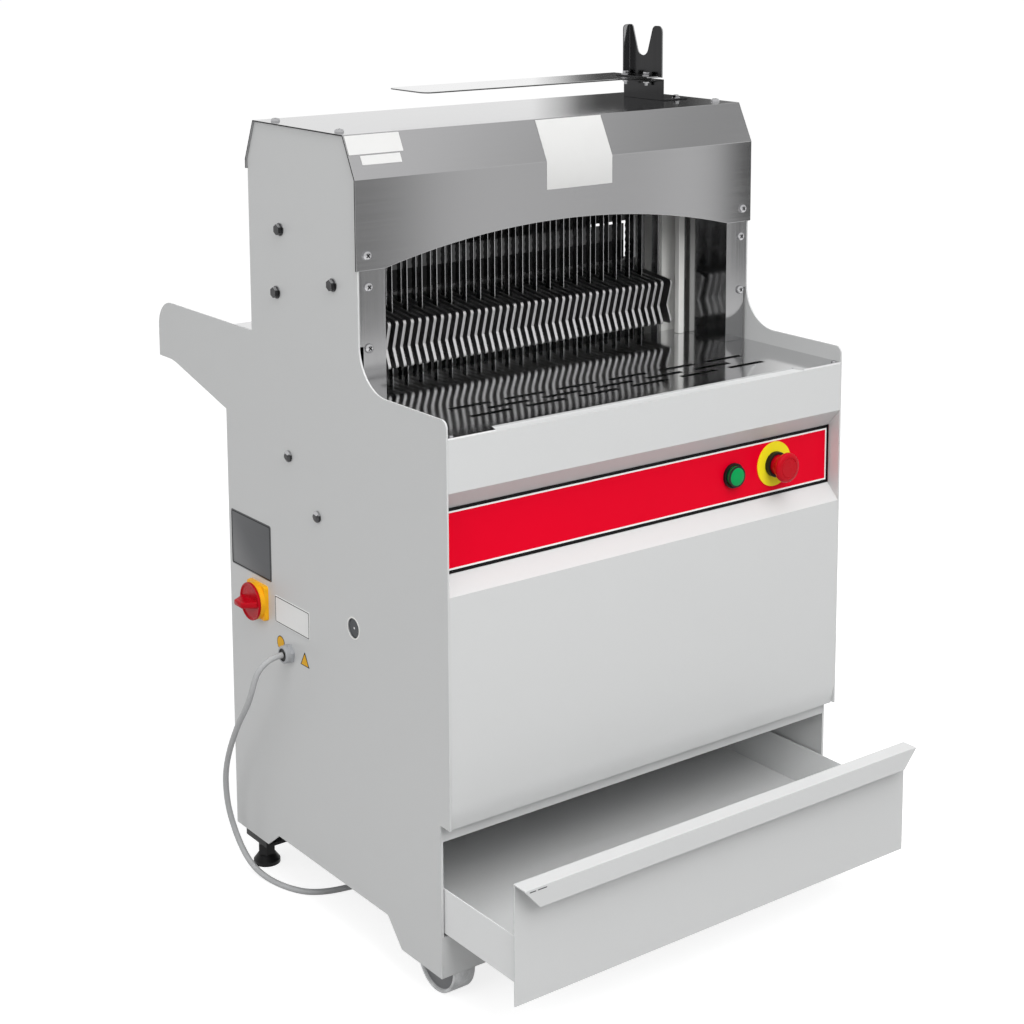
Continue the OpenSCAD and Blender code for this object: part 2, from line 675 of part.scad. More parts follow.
// drawer front with the folded handle along its top edge
module drawer_front() color([0.84, 0.85, 0.85]) place() {
    box([-hw - 0.5, drawer_y, 73.5], [hw + 0.5, drawer_y + 2, 223.5]);
    box([-hw - 0.5, drawer_y - drawer_lip, 221.5], [hw + 0.5, drawer_y + 2, 223.5]);
    xz(drawer_y - drawer_lip, 2) polygon([
        [-hw - 0.5, 223.5], [hw + 0.5, 223.5], [hw + 0.5, 221.5], [hw - 21, 197.5], [-hw + 21, 197.5],
        [-hw - 0.5, 221.5]]);
}

// bent finger of the pusher comb, and the plate at both ends
module finger_outline() polygon(concat(
    turn(comb_end, comb_top, comb_knee, 6, 5), [comb_knee],
    turn(comb_knee, comb_foot, [comb_back, comb_low], 4, 4),
    [[comb_back, comb_low], [comb_back, comb_low + comb_bar], [comb_y + 12, comb_low + comb_bar],
        comb_knee + [11, 0], [comb_y + 12, table_z + 71], comb_end - [0, 9], comb_end]));
module end_outline() polygon(concat(
    turn(comb_end, comb_top, comb_knee, 6, 5), [comb_knee],
    turn(comb_knee, comb_foot, [comb_back, comb_low], 4, 4), [[comb_back, comb_low], comb_end]));
module comb_fingers() color([0.7, 0.7, 0.71]) place() {
    for (k = [-finger_half : finger_half])
        yz(slice * k - finger_t / 2, finger_t) finger_outline();
    pair() yz(hw - 71, 3) end_outline();
}

// cross beam behind the blades that carries the fingers
module comb_beam() color([0.55, 0.55, 0.56]) place() {
    box([-hw + 44, comb_back, table_z + 7], [hw - 44, comb_back + 4, table_z + 94]);
    box([-hw + 44, comb_back, table_z + 90], [hw - 44, comb_back + 22, table_z + 94]);
}

module comb_bushes() color([0.2, 0.2, 0.21]) place() pair() difference() {
    box([rod_x - 16, comb_back - 8, table_z + 8], [rod_x + 16, comb_back + bush_l, table_z + 44]);
    ycyl(comb_back - 9, bush_l + 10, rod_x, rod_z, rod_r + run_fit);
}

// push handle behind the beam
module comb_handle() color([0.12, 0.12, 0.12]) place() {
    pair() box([60, comb_back + 4, table_z + 60], [68, comb_back + 108, table_z + 84]);
    xcyl(-92, 184, comb_back + 108, table_z + 72, 13);
}

// frame that holds a set of blades, with the hangers for its two rods below
module blade_frame(y, rod) {
    for (z = [beam_low, beam_high])
        box([-frame_out, y - frame_d / 2, z], [frame_out, y + frame_d / 2, z + beam_h]);
    pair() {
        box([frame_in, y - frame_d / 2, beam_low], [frame_out, y + frame_d / 2, beam_high + beam_h]);
        for (x = [rod - 7 - slide_gap - 4, rod + 7 + slide_gap])
            box([x, y - 10, 540], [x + 4, y + 10, beam_low + 4]);
    }
}

// blades with scalloped rear edges, every second one in this frame
module blades(y, start) {
    z0 = beam_low + beam_h;
    n = floor((beam_high - z0) / tooth);
    edge = [for (i = [0 : n]) each [
        [y + blade_w / 2 - 1.6, beam_high - i * tooth],
        [y + blade_w / 2, beam_high - min((i + 0.5) * tooth, beam_high - z0 - 0.5)]]];
    for (k = [start : 2 : blade_n - 1])
        yz(slice * (k - (blade_n - 1) / 2) - blade_t / 2, blade_t)
            polygon(concat([[y - blade_w / 2, z0], [y - blade_w / 2, beam_high]], edge,
                [[y + blade_w / 2 - 1.6, z0]]));
}

module front_blade_frame() color([0.5, 0.5, 0.51]) place() blade_frame(front_y, front_rod_x);
module rear_blade_frame() color([0.5, 0.5, 0.51]) place() blade_frame(back_y, rear_rod_x);
module front_blades() color([0.8, 0.8, 0.81]) place() blades(front_y, 0);
module rear_blades() color([0.8, 0.8, 0.81]) place() blades(back_y, 1);

// crankshaft with an eccentric for each rod
module crankshaft() color([0.6, 0.6, 0.61]) place() {
    xcyl(-hw + 26, body_w - 80, blade_y, crank_z, shaft_r);
    pair() {
        xcyl(front_rod_x - 8, 16, front_y, crank_z, ecc_r);
        xcyl(rear_rod_x - 8, 16, back_y, crank_z, ecc_r);
    }
}

// flanged belt pulley of seat radius r from belt_x
module pulley(y, r) {
    xcyl(belt_x, 20, y, crank_z, r);
    xcyl(belt_x, 3, y, crank_z, r + 6);
    xcyl(belt_x + 17, 3, y, crank_z, r + 6);
}
module crank_pulley() color([0.35, 0.36, 0.37]) place() difference() {
    pulley(blade_y, pulley_r);
    xcyl(belt_x - 1, 22, blade_y, crank_z, shaft_r);
}
module motor_pulley() color([0.15, 0.15, 0.16]) place() {
    pulley(motor_y, motor_pulley_r);
    xcyl(belt_x - 18, 20, motor_y, crank_z, 11);
    xcyl(belt_x, motor_x + 8 - belt_x, motor_y, crank_z, motor_shaft_r);
}

// rods from the eccentrics to the frames
module rod(x, y) difference() {
    union() {
        xcyl(x - 7, 14, y, crank_z, ecc_r + 9);
        box([x - 7, y - 10, crank_z], [x + 7, y + 10, eye_z]);
        xcyl(x - 7, 14, y, eye_z, 14);
    }
    xcyl(x - 8, 16, y, crank_z, ecc_r + run_fit);
}
module front_rods() color([0.55, 0.55, 0.56]) place() pair() rod(front_rod_x, front_y);
module rear_rods() color([0.55, 0.55, 0.56]) place() pair() rod(rear_rod_x, back_y);

// hold-down plate behind the blades, hung on the hood's rear wall
module press_plate() color([0.68, 0.68, 0.69]) place() {
    box([-hw + 80, 360, press_z], [hw - 80, hood_y2 - 2 - slide_gap, press_z + 2]);
    box([-hw + 80, 360, press_z], [hw - 80, 362, press_z + press_lip]);
    box([-hw + 80, hood_y2 - 4.5 - slide_gap, press_z], [hw - 80, hood_y2 - 2 - slide_gap, press_z + 75]);
    pair() ycyl(hood_y2 - 4, 34, stud_x, stud_z, 4);
}

// clamping knob on a stud of the press plate
module press_knob() difference() {
    union() {
        ycyl(hood_y2 + slide_gap, 6, stud_x, stud_z, 9);
        ycyl(hood_y2 + slide_gap + 6, 18, stud_x, stud_z, 16);
        box([stud_x - 22, hood_y2 + slide_gap + 8, stud_z - 5],
            [stud_x + 22, hood_y2 + slide_gap + 22, stud_z + 5]);
    }
    ycyl(hood_y2 - 1, 40, stud_x, stud_z, 4 + run_fit);
}
module right_press_knob() color([0.07, 0.07, 0.07]) place() press_knob();
module left_press_knob() color([0.07, 0.07, 0.07]) place() mirror([1, 0, 0]) press_knob();

left_side_panel();
right_side_panel();
front_panel();
control_strip();
hood();
hood_rear_panel();
columns();
guard_posts();
table();
rear_table();
rear_panel();
front_skirt();
drive_bed();
drawer_runners();
guide_plates();
frame_guides();
guide_rods();
rod_blocks();
motor();
bearing_blocks();
drive_belt();
caster_brackets();
rear_foot_brackets();
levelling_feet();
switch_plate();
cable_gland();
estop_ring();
button_collars();
contact_blocks();
bag_bracket();
bag_tray();
bag_fork();
side_bolts();
cord_run();
cord_coil();
cord_plug();
drawer_tray();
drawer_front();
comb_fingers();
comb_beam();
comb_bushes();
comb_handle();
front_blade_frame();
front_blades();
rear_blade_frame();
rear_blades();
crankshaft();
crank_pulley();
front_rods();
rear_rods();
motor_pulley();
switch_knob();
estop_stem();
estop_head();
start_button();
left_wheel();
right_wheel();
press_plate();
left_press_knob();
right_press_knob();
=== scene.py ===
"""Looks of the bread slicer: materials, softened edges, cord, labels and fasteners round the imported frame."""

import json
import math

import bmesh
import bpy
import numpy as np
from mathutils import Matrix, Vector


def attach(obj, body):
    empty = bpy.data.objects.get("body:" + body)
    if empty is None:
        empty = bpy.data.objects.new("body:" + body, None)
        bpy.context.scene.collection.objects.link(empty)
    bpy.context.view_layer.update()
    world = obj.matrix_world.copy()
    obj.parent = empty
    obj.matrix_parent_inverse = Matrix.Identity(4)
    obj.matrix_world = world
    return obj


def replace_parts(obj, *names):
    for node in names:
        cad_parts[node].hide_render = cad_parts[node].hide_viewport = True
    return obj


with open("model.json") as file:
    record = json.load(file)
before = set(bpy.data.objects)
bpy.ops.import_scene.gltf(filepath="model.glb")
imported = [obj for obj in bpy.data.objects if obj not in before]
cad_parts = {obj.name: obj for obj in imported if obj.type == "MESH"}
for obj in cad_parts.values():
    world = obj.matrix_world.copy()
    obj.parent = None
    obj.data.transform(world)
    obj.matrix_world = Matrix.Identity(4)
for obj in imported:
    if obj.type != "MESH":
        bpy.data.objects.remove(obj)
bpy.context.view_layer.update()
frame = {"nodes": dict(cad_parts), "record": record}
nodes = frame["nodes"]
body_of = {n: b for b, ns in frame["record"]["behaviour"]["bodies"].items() for n in ns}
scene = bpy.context.scene
scene.view_settings.view_transform = "Standard"

# Directions
X, Y, Z = Vector((1, 0, 0)), Vector((0, 1, 0)), Vector((0, 0, 1))
LEFT, FRONT = -X, -Y

# Places in the drawing's millimetres, and the drawing's origin in the shared frame
ORIGIN_X, ORIGIN_Y = 17.75, -285.5
HALF_W = 320
TABLE_Z = 714
HOOD_FRONT_Y, HOOD_REAR_Y = 184, 450.5
HOOD_FOLD_Z, HOOD_TOP_Z = 992.4, 1044.5
COLUMN_FRONT_Y = 185.5
REAR_PANEL_Y = 520
WHEEL_X, WHEEL_Y, WHEEL_Z = 284, 63.5, 40
GLAND_Y, GLAND_Z = 367, 346
SHAFT_Y, SHAFT_Z = 208, 427


def at(x, y, z):
    """A point in the drawing's millimetres, in the shared frame."""
    return Vector(((x + ORIGIN_X) / 1000, (y + ORIGIN_Y) / 1000, z / 1000))


# Camera

def make_camera():
    """The photo's camera.

    Its lens shift is a skew of the mount, so a view from another side, which leaves the mount, is centred.
    """
    yaw, pitch, roll = 0.648198, -0.155682, -0.002729
    eye = at(-1578.86, -1834.66, 1317.09)
    focal = 70.509
    shift_x, shift_y = -0.012387, -0.146076
    ahead = Vector((math.sin(yaw) * math.cos(pitch), math.cos(yaw) * math.cos(pitch), math.sin(pitch)))
    level = Vector((math.cos(yaw), -math.sin(yaw), 0))
    over = level.cross(ahead)
    right = level * math.cos(roll) + over * math.sin(roll)
    up = over * math.cos(roll) - level * math.sin(roll)
    middle = ahead + shift_x * right + shift_y * up
    place = Matrix((right, up, -middle.normalized())).transposed().to_4x4()
    place.translation = eye
    mount = bpy.data.objects.new("camera_mount", None)
    scene.collection.objects.link(mount)
    cam = bpy.data.objects.new("camera", bpy.data.cameras.new("camera"))
    scene.collection.objects.link(cam)
    cam.parent = mount
    cam.matrix_parent_inverse = place
    cam.data.sensor_width = 36
    cam.data.lens = focal * middle.length
    cam.data.clip_end = 100
    scene.camera = cam


make_camera()


# Materials

def lin(*srgb):
    """Linear colour from sRGB values of 0 to 255."""
    shares = [value / 255 for value in srgb]
    return tuple(c / 12.92 if c <= 0.04045 else ((c + 0.055) / 1.055) ** 2.4 for c in shares)


class Nodes:
    """The emptied node tree of a material or world, with short ways to add and join nodes."""

    def __init__(self, owner):
        owner.use_nodes = True
        self.owner = owner
        self.tree = owner.node_tree
        self.tree.nodes.clear()

    def add(self, kind, values=None, **settings):
        """A node with its settings, and values for its own sockets."""
        node = self.tree.nodes.new(kind)
        for name, setting in settings.items():
            setattr(node, name, setting)
        for socket, value in (values or {}).items():
            node.inputs[socket].default_value = value
        return node

    def join(self, source, target):
        self.tree.links.new(source, target)


def hub_colour(m, place, outside, hub):
    """The colour outside, but the hub's own colour in a disc about an axle along X."""
    y, z, radius, colour = hub
    blur = 0.0003
    split = m.add("ShaderNodeSeparateXYZ")
    m.join(place, split.inputs["Vector"])
    flat = m.add("ShaderNodeCombineXYZ")
    m.join(split.outputs["Y"], flat.inputs["X"])
    m.join(split.outputs["Z"], flat.inputs["Y"])
    away = m.add("ShaderNodeVectorMath", {1: (y, z, 0)}, operation="DISTANCE")
    m.join(flat.outputs["Vector"], away.inputs[0])
    edge = m.add("ShaderNodeMapRange", {"From Min": radius - blur, "From Max": radius + blur})
    m.join(away.outputs["Value"], edge.inputs["Value"])
    both = m.add("ShaderNodeMix", data_type="RGBA")
    both.inputs[6].default_value = (*colour, 1)
    m.join(edge.outputs["Result"], both.inputs[0])
    m.join(outside, both.inputs[7])
    return both.outputs[2]


def surface(name, colour, rough, metal=0.0, spread=0.02, mottle=6.0, grain=900.0, stretch=None,
            bump=0.05, depth=0.0002, rough_spread=0.05, level=0.5, hub=None):
    """A finished surface: clouded colour, uneven gloss and fine relief, from noise in the piece's own space.

    hub = (y, z, radius, colour) gives the disc about an axle along X a second colour.
    """
    low, high = 0.3, 0.7
    m = Nodes(bpy.data.materials.new(name))
    place = m.add("ShaderNodeTexCoord").outputs["Object"]
    clouds = m.add("ShaderNodeTexNoise", {"Scale": mottle, "Detail": 4})
    m.join(place, clouds.inputs["Vector"])
    scaled = m.add("ShaderNodeMapping", {"Scale": stretch or (grain, grain, grain)})
    m.join(place, scaled.inputs["Vector"])
    fine = m.add("ShaderNodeTexNoise", {"Scale": 1, "Detail": 3})
    m.join(scaled.outputs["Vector"], fine.inputs["Vector"])
    both = m.add("ShaderNodeMix", data_type="FLOAT")
    both.inputs[0].default_value = 0.5 if stretch else 0.25
    m.join(clouds.outputs["Fac"], both.inputs[2])
    m.join(fine.outputs["Fac"], both.inputs[3])

    tint = m.add("ShaderNodeValToRGB")
    for stop, position, share in zip(tint.color_ramp.elements, (low, high), (1 - spread, 1 + spread)):
        stop.position = position
        stop.color = (*[min(1, c * share) for c in colour], 1)
    m.join(both.outputs[0], tint.inputs["Fac"])
    shown = tint.outputs["Color"]
    if hub:
        shown = hub_colour(m, place, shown, hub)
    smoothest, roughest = max(0.02, rough - rough_spread), rough + rough_spread
    gloss = m.add("ShaderNodeMapRange", {"From Min": low, "From Max": high,
                                         "To Min": smoothest, "To Max": roughest})
    m.join(both.outputs[0], gloss.inputs["Value"])
    relief = m.add("ShaderNodeBump", {"Strength": bump, "Distance": depth})
    m.join(fine.outputs["Fac"], relief.inputs["Height"])

    bsdf = m.add("ShaderNodeBsdfPrincipled", {"Metallic": metal, "Specular IOR Level": level})
    m.join(shown, bsdf.inputs["Base Color"])
    m.join(gloss.outputs["Result"], bsdf.inputs["Roughness"])
    m.join(relief.outputs["Normal"], bsdf.inputs["Normal"])
    out = m.add("ShaderNodeOutputMaterial")
    m.join(bsdf.outputs["BSDF"], out.inputs["Surface"])
    return m.owner


ALONG_X, ALONG_Y, ALONG_Z = (5, 520, 520), (520, 5, 520), (520, 520, 5)
WHEEL_HUB = (*at(0, WHEEL_Y, WHEEL_Z)[1:], 0.0355, lin(112, 113, 115))
MATS = {
    # sheet metal
    "painted": surface("powder_coat", lin(204, 205, 205), 0.4, spread=0.012, mottle=4, grain=800, bump=0.07),
    # painted light: a paler copy of the powder coat for the drawer tray, standing in for light on its shaded
    # floor
    "pale": surface("coat_painted_light", lin(228, 229, 229), 0.42, spread=0.012, mottle=4, grain=800, bump=0.07),
    "stainless": surface("brushed_stainless", (0.43, 0.43, 0.435), 0.105, 1, spread=0.015, mottle=3,
                         stretch=ALONG_X, bump=0.015, depth=0.0001, rough_spread=0.02),
    # also the painted highlight on the bag fork's front faces
    "upright": surface("brushed_stainless_upright_and_highlight", (0.37, 0.37, 0.374), 0.13, 1, spread=0.04, mottle=3,
                       stretch=ALONG_Z, bump=0.03, depth=0.0001, rough_spread=0.05),
    # painted shade: a darker copy of the upright stainless for the guide plates
    "guide": surface("guide_stainless_shaded", (0.17, 0.17, 0.172), 0.2, 1, spread=0.05, mottle=3,
                     stretch=ALONG_Z, bump=0.05, depth=0.0001, rough_spread=0.06),
    "polished": surface("polished_stainless", (0.7, 0.7, 0.705), 0.1, 1, spread=0.04, mottle=5,
                        stretch=ALONG_Y, bump=0.02, depth=0.00008, rough_spread=0.03),
    # painted shade: a dull dark copy of stainless for the press plate and comb beam, which stand in the hood's
    # shade
    "shaded": surface("stainless_painted_shade", (0.22, 0.22, 0.222), 0.45, 0.35, spread=0.06, mottle=8,
                      stretch=ALONG_X, bump=0.05, depth=0.0001),
    # painted reflection: stainless darkened to the dark room that the bag fork and its bracket reflect
    "dark_plate": surface("stainless_painted_dark_reflection", (0.04, 0.04, 0.041), 0.17, 1, spread=0.1, mottle=8,
                          stretch=ALONG_Z, bump=0.05, depth=0.0001),
    # painted shade: near black for the bag tray's upright faces
    "tray_edge_shade": surface("edge_shade", (0.1, 0.1, 0.1), 0.3, 1, spread=0.1, mottle=40, bump=0.03),
    # comb and blades
    # painted highlight: a lighter copy of stainless for the fingers' front faces
    "finger": surface("finger_front_highlight", (0.6, 0.6, 0.6), 0.36, 0.6, spread=0.04, mottle=40,
                      stretch=ALONG_Z, bump=0.04, depth=0.0001),
    "finger_side": surface("tumbled_stainless", (0.4, 0.4, 0.4), 0.34, 1, spread=0.08, mottle=60,
                           grain=500, bump=0.05, depth=0.0001),
    # painted shade and highlight: the blades' faces in a dark copy of steel, their front faces in a light one
    "blade": surface("blade_steel_shaded", (0.16, 0.16, 0.163), 0.26, 1, spread=0.1, mottle=30,
                     stretch=ALONG_Z, bump=0.05, depth=0.0001),
    "blade_edge_highlight": surface("painted_edge_highlight", (0.75, 0.75, 0.76), 0.3, 0.6, spread=0.06, mottle=60,
                          stretch=ALONG_Z, bump=0.03, depth=0.00005),
    # machine steel
    "zinc": surface("zinc_plate", (0.46, 0.47, 0.48), 0.36, 0.9, spread=0.1, mottle=45, grain=300, bump=0.06),
    "dark_steel": surface("dark_enamel", lin(58, 61, 64), 0.42, spread=0.08, mottle=18, grain=500,
                          bump=0.12, level=0.3),
    "black_steel": surface("black_enamel", lin(22, 22, 23), 0.4, spread=0.1, mottle=30, grain=600,
                           bump=0.12, level=0.2),
    "machined": surface("machined_steel", (0.42, 0.42, 0.43), 0.3, 1, spread=0.1, mottle=14,
                        stretch=ALONG_X, bump=0.06, depth=0.0001),
    "chrome": surface("ground_rod", (0.62, 0.62, 0.63), 0.12, 1, spread=0.04, mottle=20, grain=700,
                      bump=0.02),
    "dark_bolt": surface("black_zinc", (0.055, 0.055, 0.057), 0.25, 1, spread=0.3, mottle=160, bump=0.05),
    # screw steel, also the painted highlight on the tops of the side bolts
    "screw": surface("screw_steel_and_highlight", (0.46, 0.46, 0.47), 0.16, 1, spread=0.08, mottle=120, grain=900,
                     bump=0.04),
    # plastic and rubber
    # white plastic, also the painted highlight on the rim of the shaft's hole
    "white_plastic": surface("white_plastic", lin(235, 235, 232), 0.38, spread=0.02, mottle=25, grain=600,
                             bump=0.06),
    "black_plastic": surface("black_plastic", lin(24, 24, 25), 0.42, spread=0.12, mottle=60, grain=1500,
                             bump=0.12, level=0.2),
    "grey_plastic": surface("grey_plastic", lin(165, 167, 170), 0.42, spread=0.03, mottle=40, grain=1100,
                            bump=0.08),
    "yellow_plastic": surface("yellow_plastic", lin(250, 182, 30), 0.32, spread=0.02, mottle=40, grain=1200,
                              bump=0.06, level=0.15),
    "red_plastic": surface("red_plastic", lin(184, 3, 25), 0.26, spread=0.04, mottle=40, grain=1200,
                           bump=0.05, level=0.12),
    "green_lens": surface("green_lens", lin(0, 154, 80), 0.22, spread=0.06, mottle=60, grain=900,
                          bump=0.04, level=0.1),
    # painted shade: a darker copy of the green lens for its side
    "green_side_shade": surface("green_lens_side_shaded", lin(0, 96, 52), 0.15, spread=0.3, mottle=90, grain=700,
                          bump=0.06, level=0.4),
    "belt_rubber": surface("belt_rubber", lin(30, 30, 31), 0.7, spread=0.12, mottle=50, grain=900, bump=0.2),
    # partly painted light: the tread's pale grey is raised to make up for the shade it stands in
    "wheel_rubber": surface("wheel_rubber", lin(216, 217, 218), 0.55, spread=0.3, mottle=60, grain=400,
                            bump=0.25, depth=0.0004, hub=WHEEL_HUB),
    "cord_grey": surface("cord_sheath", lin(178, 179, 180), 0.5, spread=0.04, mottle=40, grain=1300,
                         bump=0.12),
    # painted shade: the dark colour in screw recesses and in the gland's hollow
    "recess": surface("painted_recess_shade", lin(34, 34, 35), 0.6, spread=0.1, mottle=60, grain=900, bump=0.05),
    # films, labels and plates
    "red_film": surface("red_film", lin(227, 0, 37), 0.4, spread=0.02, mottle=9, grain=1400,
                        bump=0.03, level=0.06),
    "yellow_film": surface("yellow_film", lin(244, 228, 36), 0.35, spread=0.02, mottle=40, grain=1400,
                           bump=0.03, level=0.12),
    "amber_film": surface("amber_film", lin(232, 174, 18), 0.35, spread=0.02, mottle=40, grain=1400,
                          bump=0.03, level=0.12),
    # painted shade: a darker copy of the white label for the labels on the hood, which face the strongest light
    "dimmed_label": surface("label_paper", lin(202, 202, 201), 0.5, spread=0.015, mottle=40, grain=1500, bump=0.05),
    # white label, also the painted highlight at the centre of the shaft's end
    "label": surface("white_label_and_highlight", lin(236, 236, 235), 0.45, spread=0.015, mottle=40, grain=1500, bump=0.05),
    "plate": surface("grey_plate", lin(84, 85, 87), 0.35, 0.5, spread=0.06, mottle=12,
                     stretch=ALONG_Y, bump=0.04, depth=0.0001),
    # print, and painted shade where it draws the hood's edge lines and the handle's slots
    "black_line": surface("black_print_and_shade", lin(12, 12, 13), 0.35, spread=0.1, mottle=60, grain=1500,
                          bump=0.02, level=0.08),
}
# The look of each CAD node
LOOK = {
    "painted": ["left_side_panel", "right_side_panel", "front_panel", "rear_panel", "front_skirt",
                "drawer_front"],
    "pale": ["drawer_tray"],
    "stainless": ["hood", "hood_rear_panel"],
    "shaded": ["press_plate", "comb_beam"],
    "upright": ["columns"],
    "guide": ["guide_plates"],
    "polished": ["table", "rear_table", "bag_tray"],
    "finger_side": ["comb_fingers"],
    "blade": ["front_blades", "rear_blades"],
    "dark_bolt": ["side_bolts"],
    "dark_plate": ["bag_fork", "bag_bracket"],
    "red_film": ["control_strip"],
    "white_plastic": ["guard_posts", "frame_guides"],
    "zinc": ["drawer_runners", "caster_brackets"],
    "dark_steel": ["drive_bed", "rod_blocks", "motor", "bearing_blocks", "crank_pulley", "motor_pulley"],
    "black_steel": ["rear_foot_brackets"],
    "machined": ["front_blade_frame", "rear_blade_frame", "crankshaft", "front_rods", "rear_rods"],
    "chrome": ["guide_rods"],
    "black_plastic": ["levelling_feet", "button_collars", "contact_blocks", "comb_bushes", "comb_handle",
                      "left_press_knob", "right_press_knob", "estop_stem", "cord_plug"],
    "belt_rubber": ["drive_belt"],
    "wheel_rubber": ["left_wheel", "right_wheel"],
    "yellow_plastic": ["switch_plate"],
    "yellow_film": ["estop_ring"],
    "red_plastic": ["switch_knob", "estop_head"],
    "green_lens": ["start_button"],
    "grey_plastic": ["cable_gland"],
    "cord_grey": ["cord_run", "cord_coil"],
}
look_of = {n: look for look, ns in LOOK.items() for n in ns}
for name, obj in nodes.items():
    obj.data.materials.clear()
    obj.data.materials.append(MATS[look_of[name]])


# Pieces

def piece(name, bm, look, body, smooth=35):
    """A mesh piece from bm that rides on a body, smooth up to an angle."""
    bmesh.ops.recalc_face_normals(bm, faces=bm.faces[:])
    for edge in bm.edges:
        edge.smooth = len(edge.link_faces) == 2 and edge.calc_face_angle(0) < math.radians(smooth)
    for face in bm.faces:
        face.smooth = True
    mesh = bpy.data.meshes.new(name)
    bm.to_mesh(mesh)
    bm.free()
    obj = bpy.data.objects.new(name, mesh)
    scene.collection.objects.link(obj)
    mesh.materials.append(MATS[look])
    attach(obj, body)
    return obj


def soften(node, width, steps=2, second=None, where=None):
    """The CAD node with its sharp edges rounded by width millimetres, in its place.

    Faces whose normal passes the test where get the look second.
    """
    sharp_angle, smooth_angle, flat_angle = 24, 25, 0.4
    bm = bmesh.new()
    bm.from_mesh(nodes[node].data)
    bmesh.ops.remove_doubles(bm, verts=bm.verts[:], dist=2e-6)
    bmesh.ops.dissolve_limit(bm, angle_limit=math.radians(flat_angle), verts=bm.verts[:], edges=bm.edges[:])
    if width:
        sharp = [edge for edge in bm.edges
                 if len(edge.link_faces) == 2 and edge.calc_face_angle(0) > math.radians(sharp_angle)]
        bmesh.ops.bevel(bm, geom=sharp, offset=width / 1000, offset_type="OFFSET", segments=steps,
                        profile=0.5, affect="EDGES", clamp_overlap=True)
    if second:
        bmesh.ops.recalc_face_normals(bm, faces=bm.faces[:])
        for face in bm.faces:
            face.material_index = int(where(face.normal))
    obj = piece(node + "_soft", bm, look_of[node], body_of[node], smooth_angle)
    if second:
        obj.data.materials.append(MATS[second])
    level = obj.modifiers.new("flat_faces", "WEIGHTED_NORMAL")
    level.mode = "FACE_AREA"
    level.weight = 100
    level.keep_sharp = True
    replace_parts(obj, node)
    return obj


def bridge(bm, first, second):
    """Faces between two closed rows of corners, of which one may be a single corner."""
    count = max(len(first), len(second))
    faces = []
    for k in range(count):
        j = (k + 1) % count
        corners = [row[i % len(row)] for row, i in ((first, k), (first, j), (second, j), (second, k))]
        faces.append(bm.faces.new(list(dict.fromkeys(corners))))
    return faces


def skin(bm, outlines, ring=False):
    """Faces through a row of outlines, with a face at both ends or, in a ring, back to the first outline."""
    rows = [[bm.verts.new(p) for p in outline] for outline in outlines]
    ends = [] if ring else [row for row in (rows[0], rows[-1]) if len(row) > 2]
    if ring:
        rows.append(rows[0])
    for first, second in zip(rows, rows[1:]):
        bridge(bm, first, second)
    for row in ends:
        bm.faces.new(row)


def circle(centre, axis, radii, height):
    """Points about an axis, one for each of the radii, height along it, in millimetres."""
    side = axis.orthogonal().normalized()
    other = axis.cross(side)
    middle = centre + axis * (height / 1000)
    step = 2 * math.pi / len(radii)
    return [middle + (side * math.cos(k * step) + other * math.sin(k * step)) * (radius / 1000)
            for k, radius in enumerate(radii)]


def lathe(bm, rings, centre, axis, turns=48):
    """A turned solid: rings of (radius, height) from centre along axis, closed at both ends."""
    skin(bm, [circle(centre, axis, [radius] * turns if radius else [0], height) for radius, height in rings])


def tube(bm, rings, centre, axis, turns=48):
    """A turned ring: its section as (radius, height) from centre along axis."""
    skin(bm, [circle(centre, axis, [radius] * turns, height) for radius, height in rings], ring=True)


def screw(bm, centre, axis, radius=5.9, height=3.7):
    """A pan-head screw, with its cross recess in the second look, which is painted shade."""
    turns, arms = 24, 4
    spread = turns // arms
    round_head = [radius] * turns
    cross = [radius * (0.55 if min(k % spread, spread - k % spread) <= 1 else 0.22) for k in range(turns)]
    outlines = [circle(centre, axis, [share * r for r in round_head], level * height)
                for share, level in ((1, 0), (1, 0.35), (0.93, 0.68), (0.78, 0.92), (0.62, 1))]
    outlines += [circle(centre, axis, cross, level * height) for level in (1, 0.45)]
    rows = [[bm.verts.new(p) for p in outline] for outline in outlines]
    for first, second in zip(rows, rows[1:]):
        for face in bridge(bm, first, second):
            face.material_index = int(second is rows[-1])
    bm.faces.new(rows[0])
    bm.faces.new(rows[-1]).material_index = 1


def prism(bm, outline, lift, rim=0.0):
    """A plate: an outline raised by lift, in millimetres, its top edge drawn in by the share rim."""
    shoulder = 0.6
    lift = lift / 1000
    middle = sum(outline, Vector()) / len(outline)
    outlines = [outline]
    if rim:
        outlines.append([p + lift * shoulder for p in outline])
    outlines.append([middle + (p - middle) * (1 - rim) + lift for p in outline])
    skin(bm, outlines)


def round_rect(centre, across, along, width, height, radius, steps=5):
    """The outline of a rectangle with round corners, with unit directions, in millimetres."""
    points = []
    for sx, sy, start in ((1, 1, 0), (-1, 1, 90), (-1, -1, 180), (1, -1, 270)):
        for k in range(steps + 1):
            angle = math.radians(start + 90 * k / steps)
            x = sx * (width / 2 - radius) + radius * math.cos(angle)
            y = sy * (height / 2 - radius) + radius * math.sin(angle)
            points.append(centre + (across * x + along * y) / 1000)
    return points


def side_rect(y, z, width, height, radius, out=0):
    """A rectangle with round corners on the left panel, out millimetres off its face."""
    return round_rect(at(-HALF_W - out, y, z), FRONT, Z, width, height, radius)


def front_rect(x, y, z, width, height, radius):
    """A rectangle with round corners that faces the front."""
    return round_rect(at(x, y, z), X, Z, width, height, radius)


def mark_faces(bm, centre, axis, index):
    """Gives each face the look index(radius, height), by its place about an axis, in millimetres."""
    for face in bm.faces:
        away = (face.calc_center_median() - centre) * 1000
        height = away.dot(axis)
        face.material_index = int(index((away - axis * height).length, height))


# Supply cord

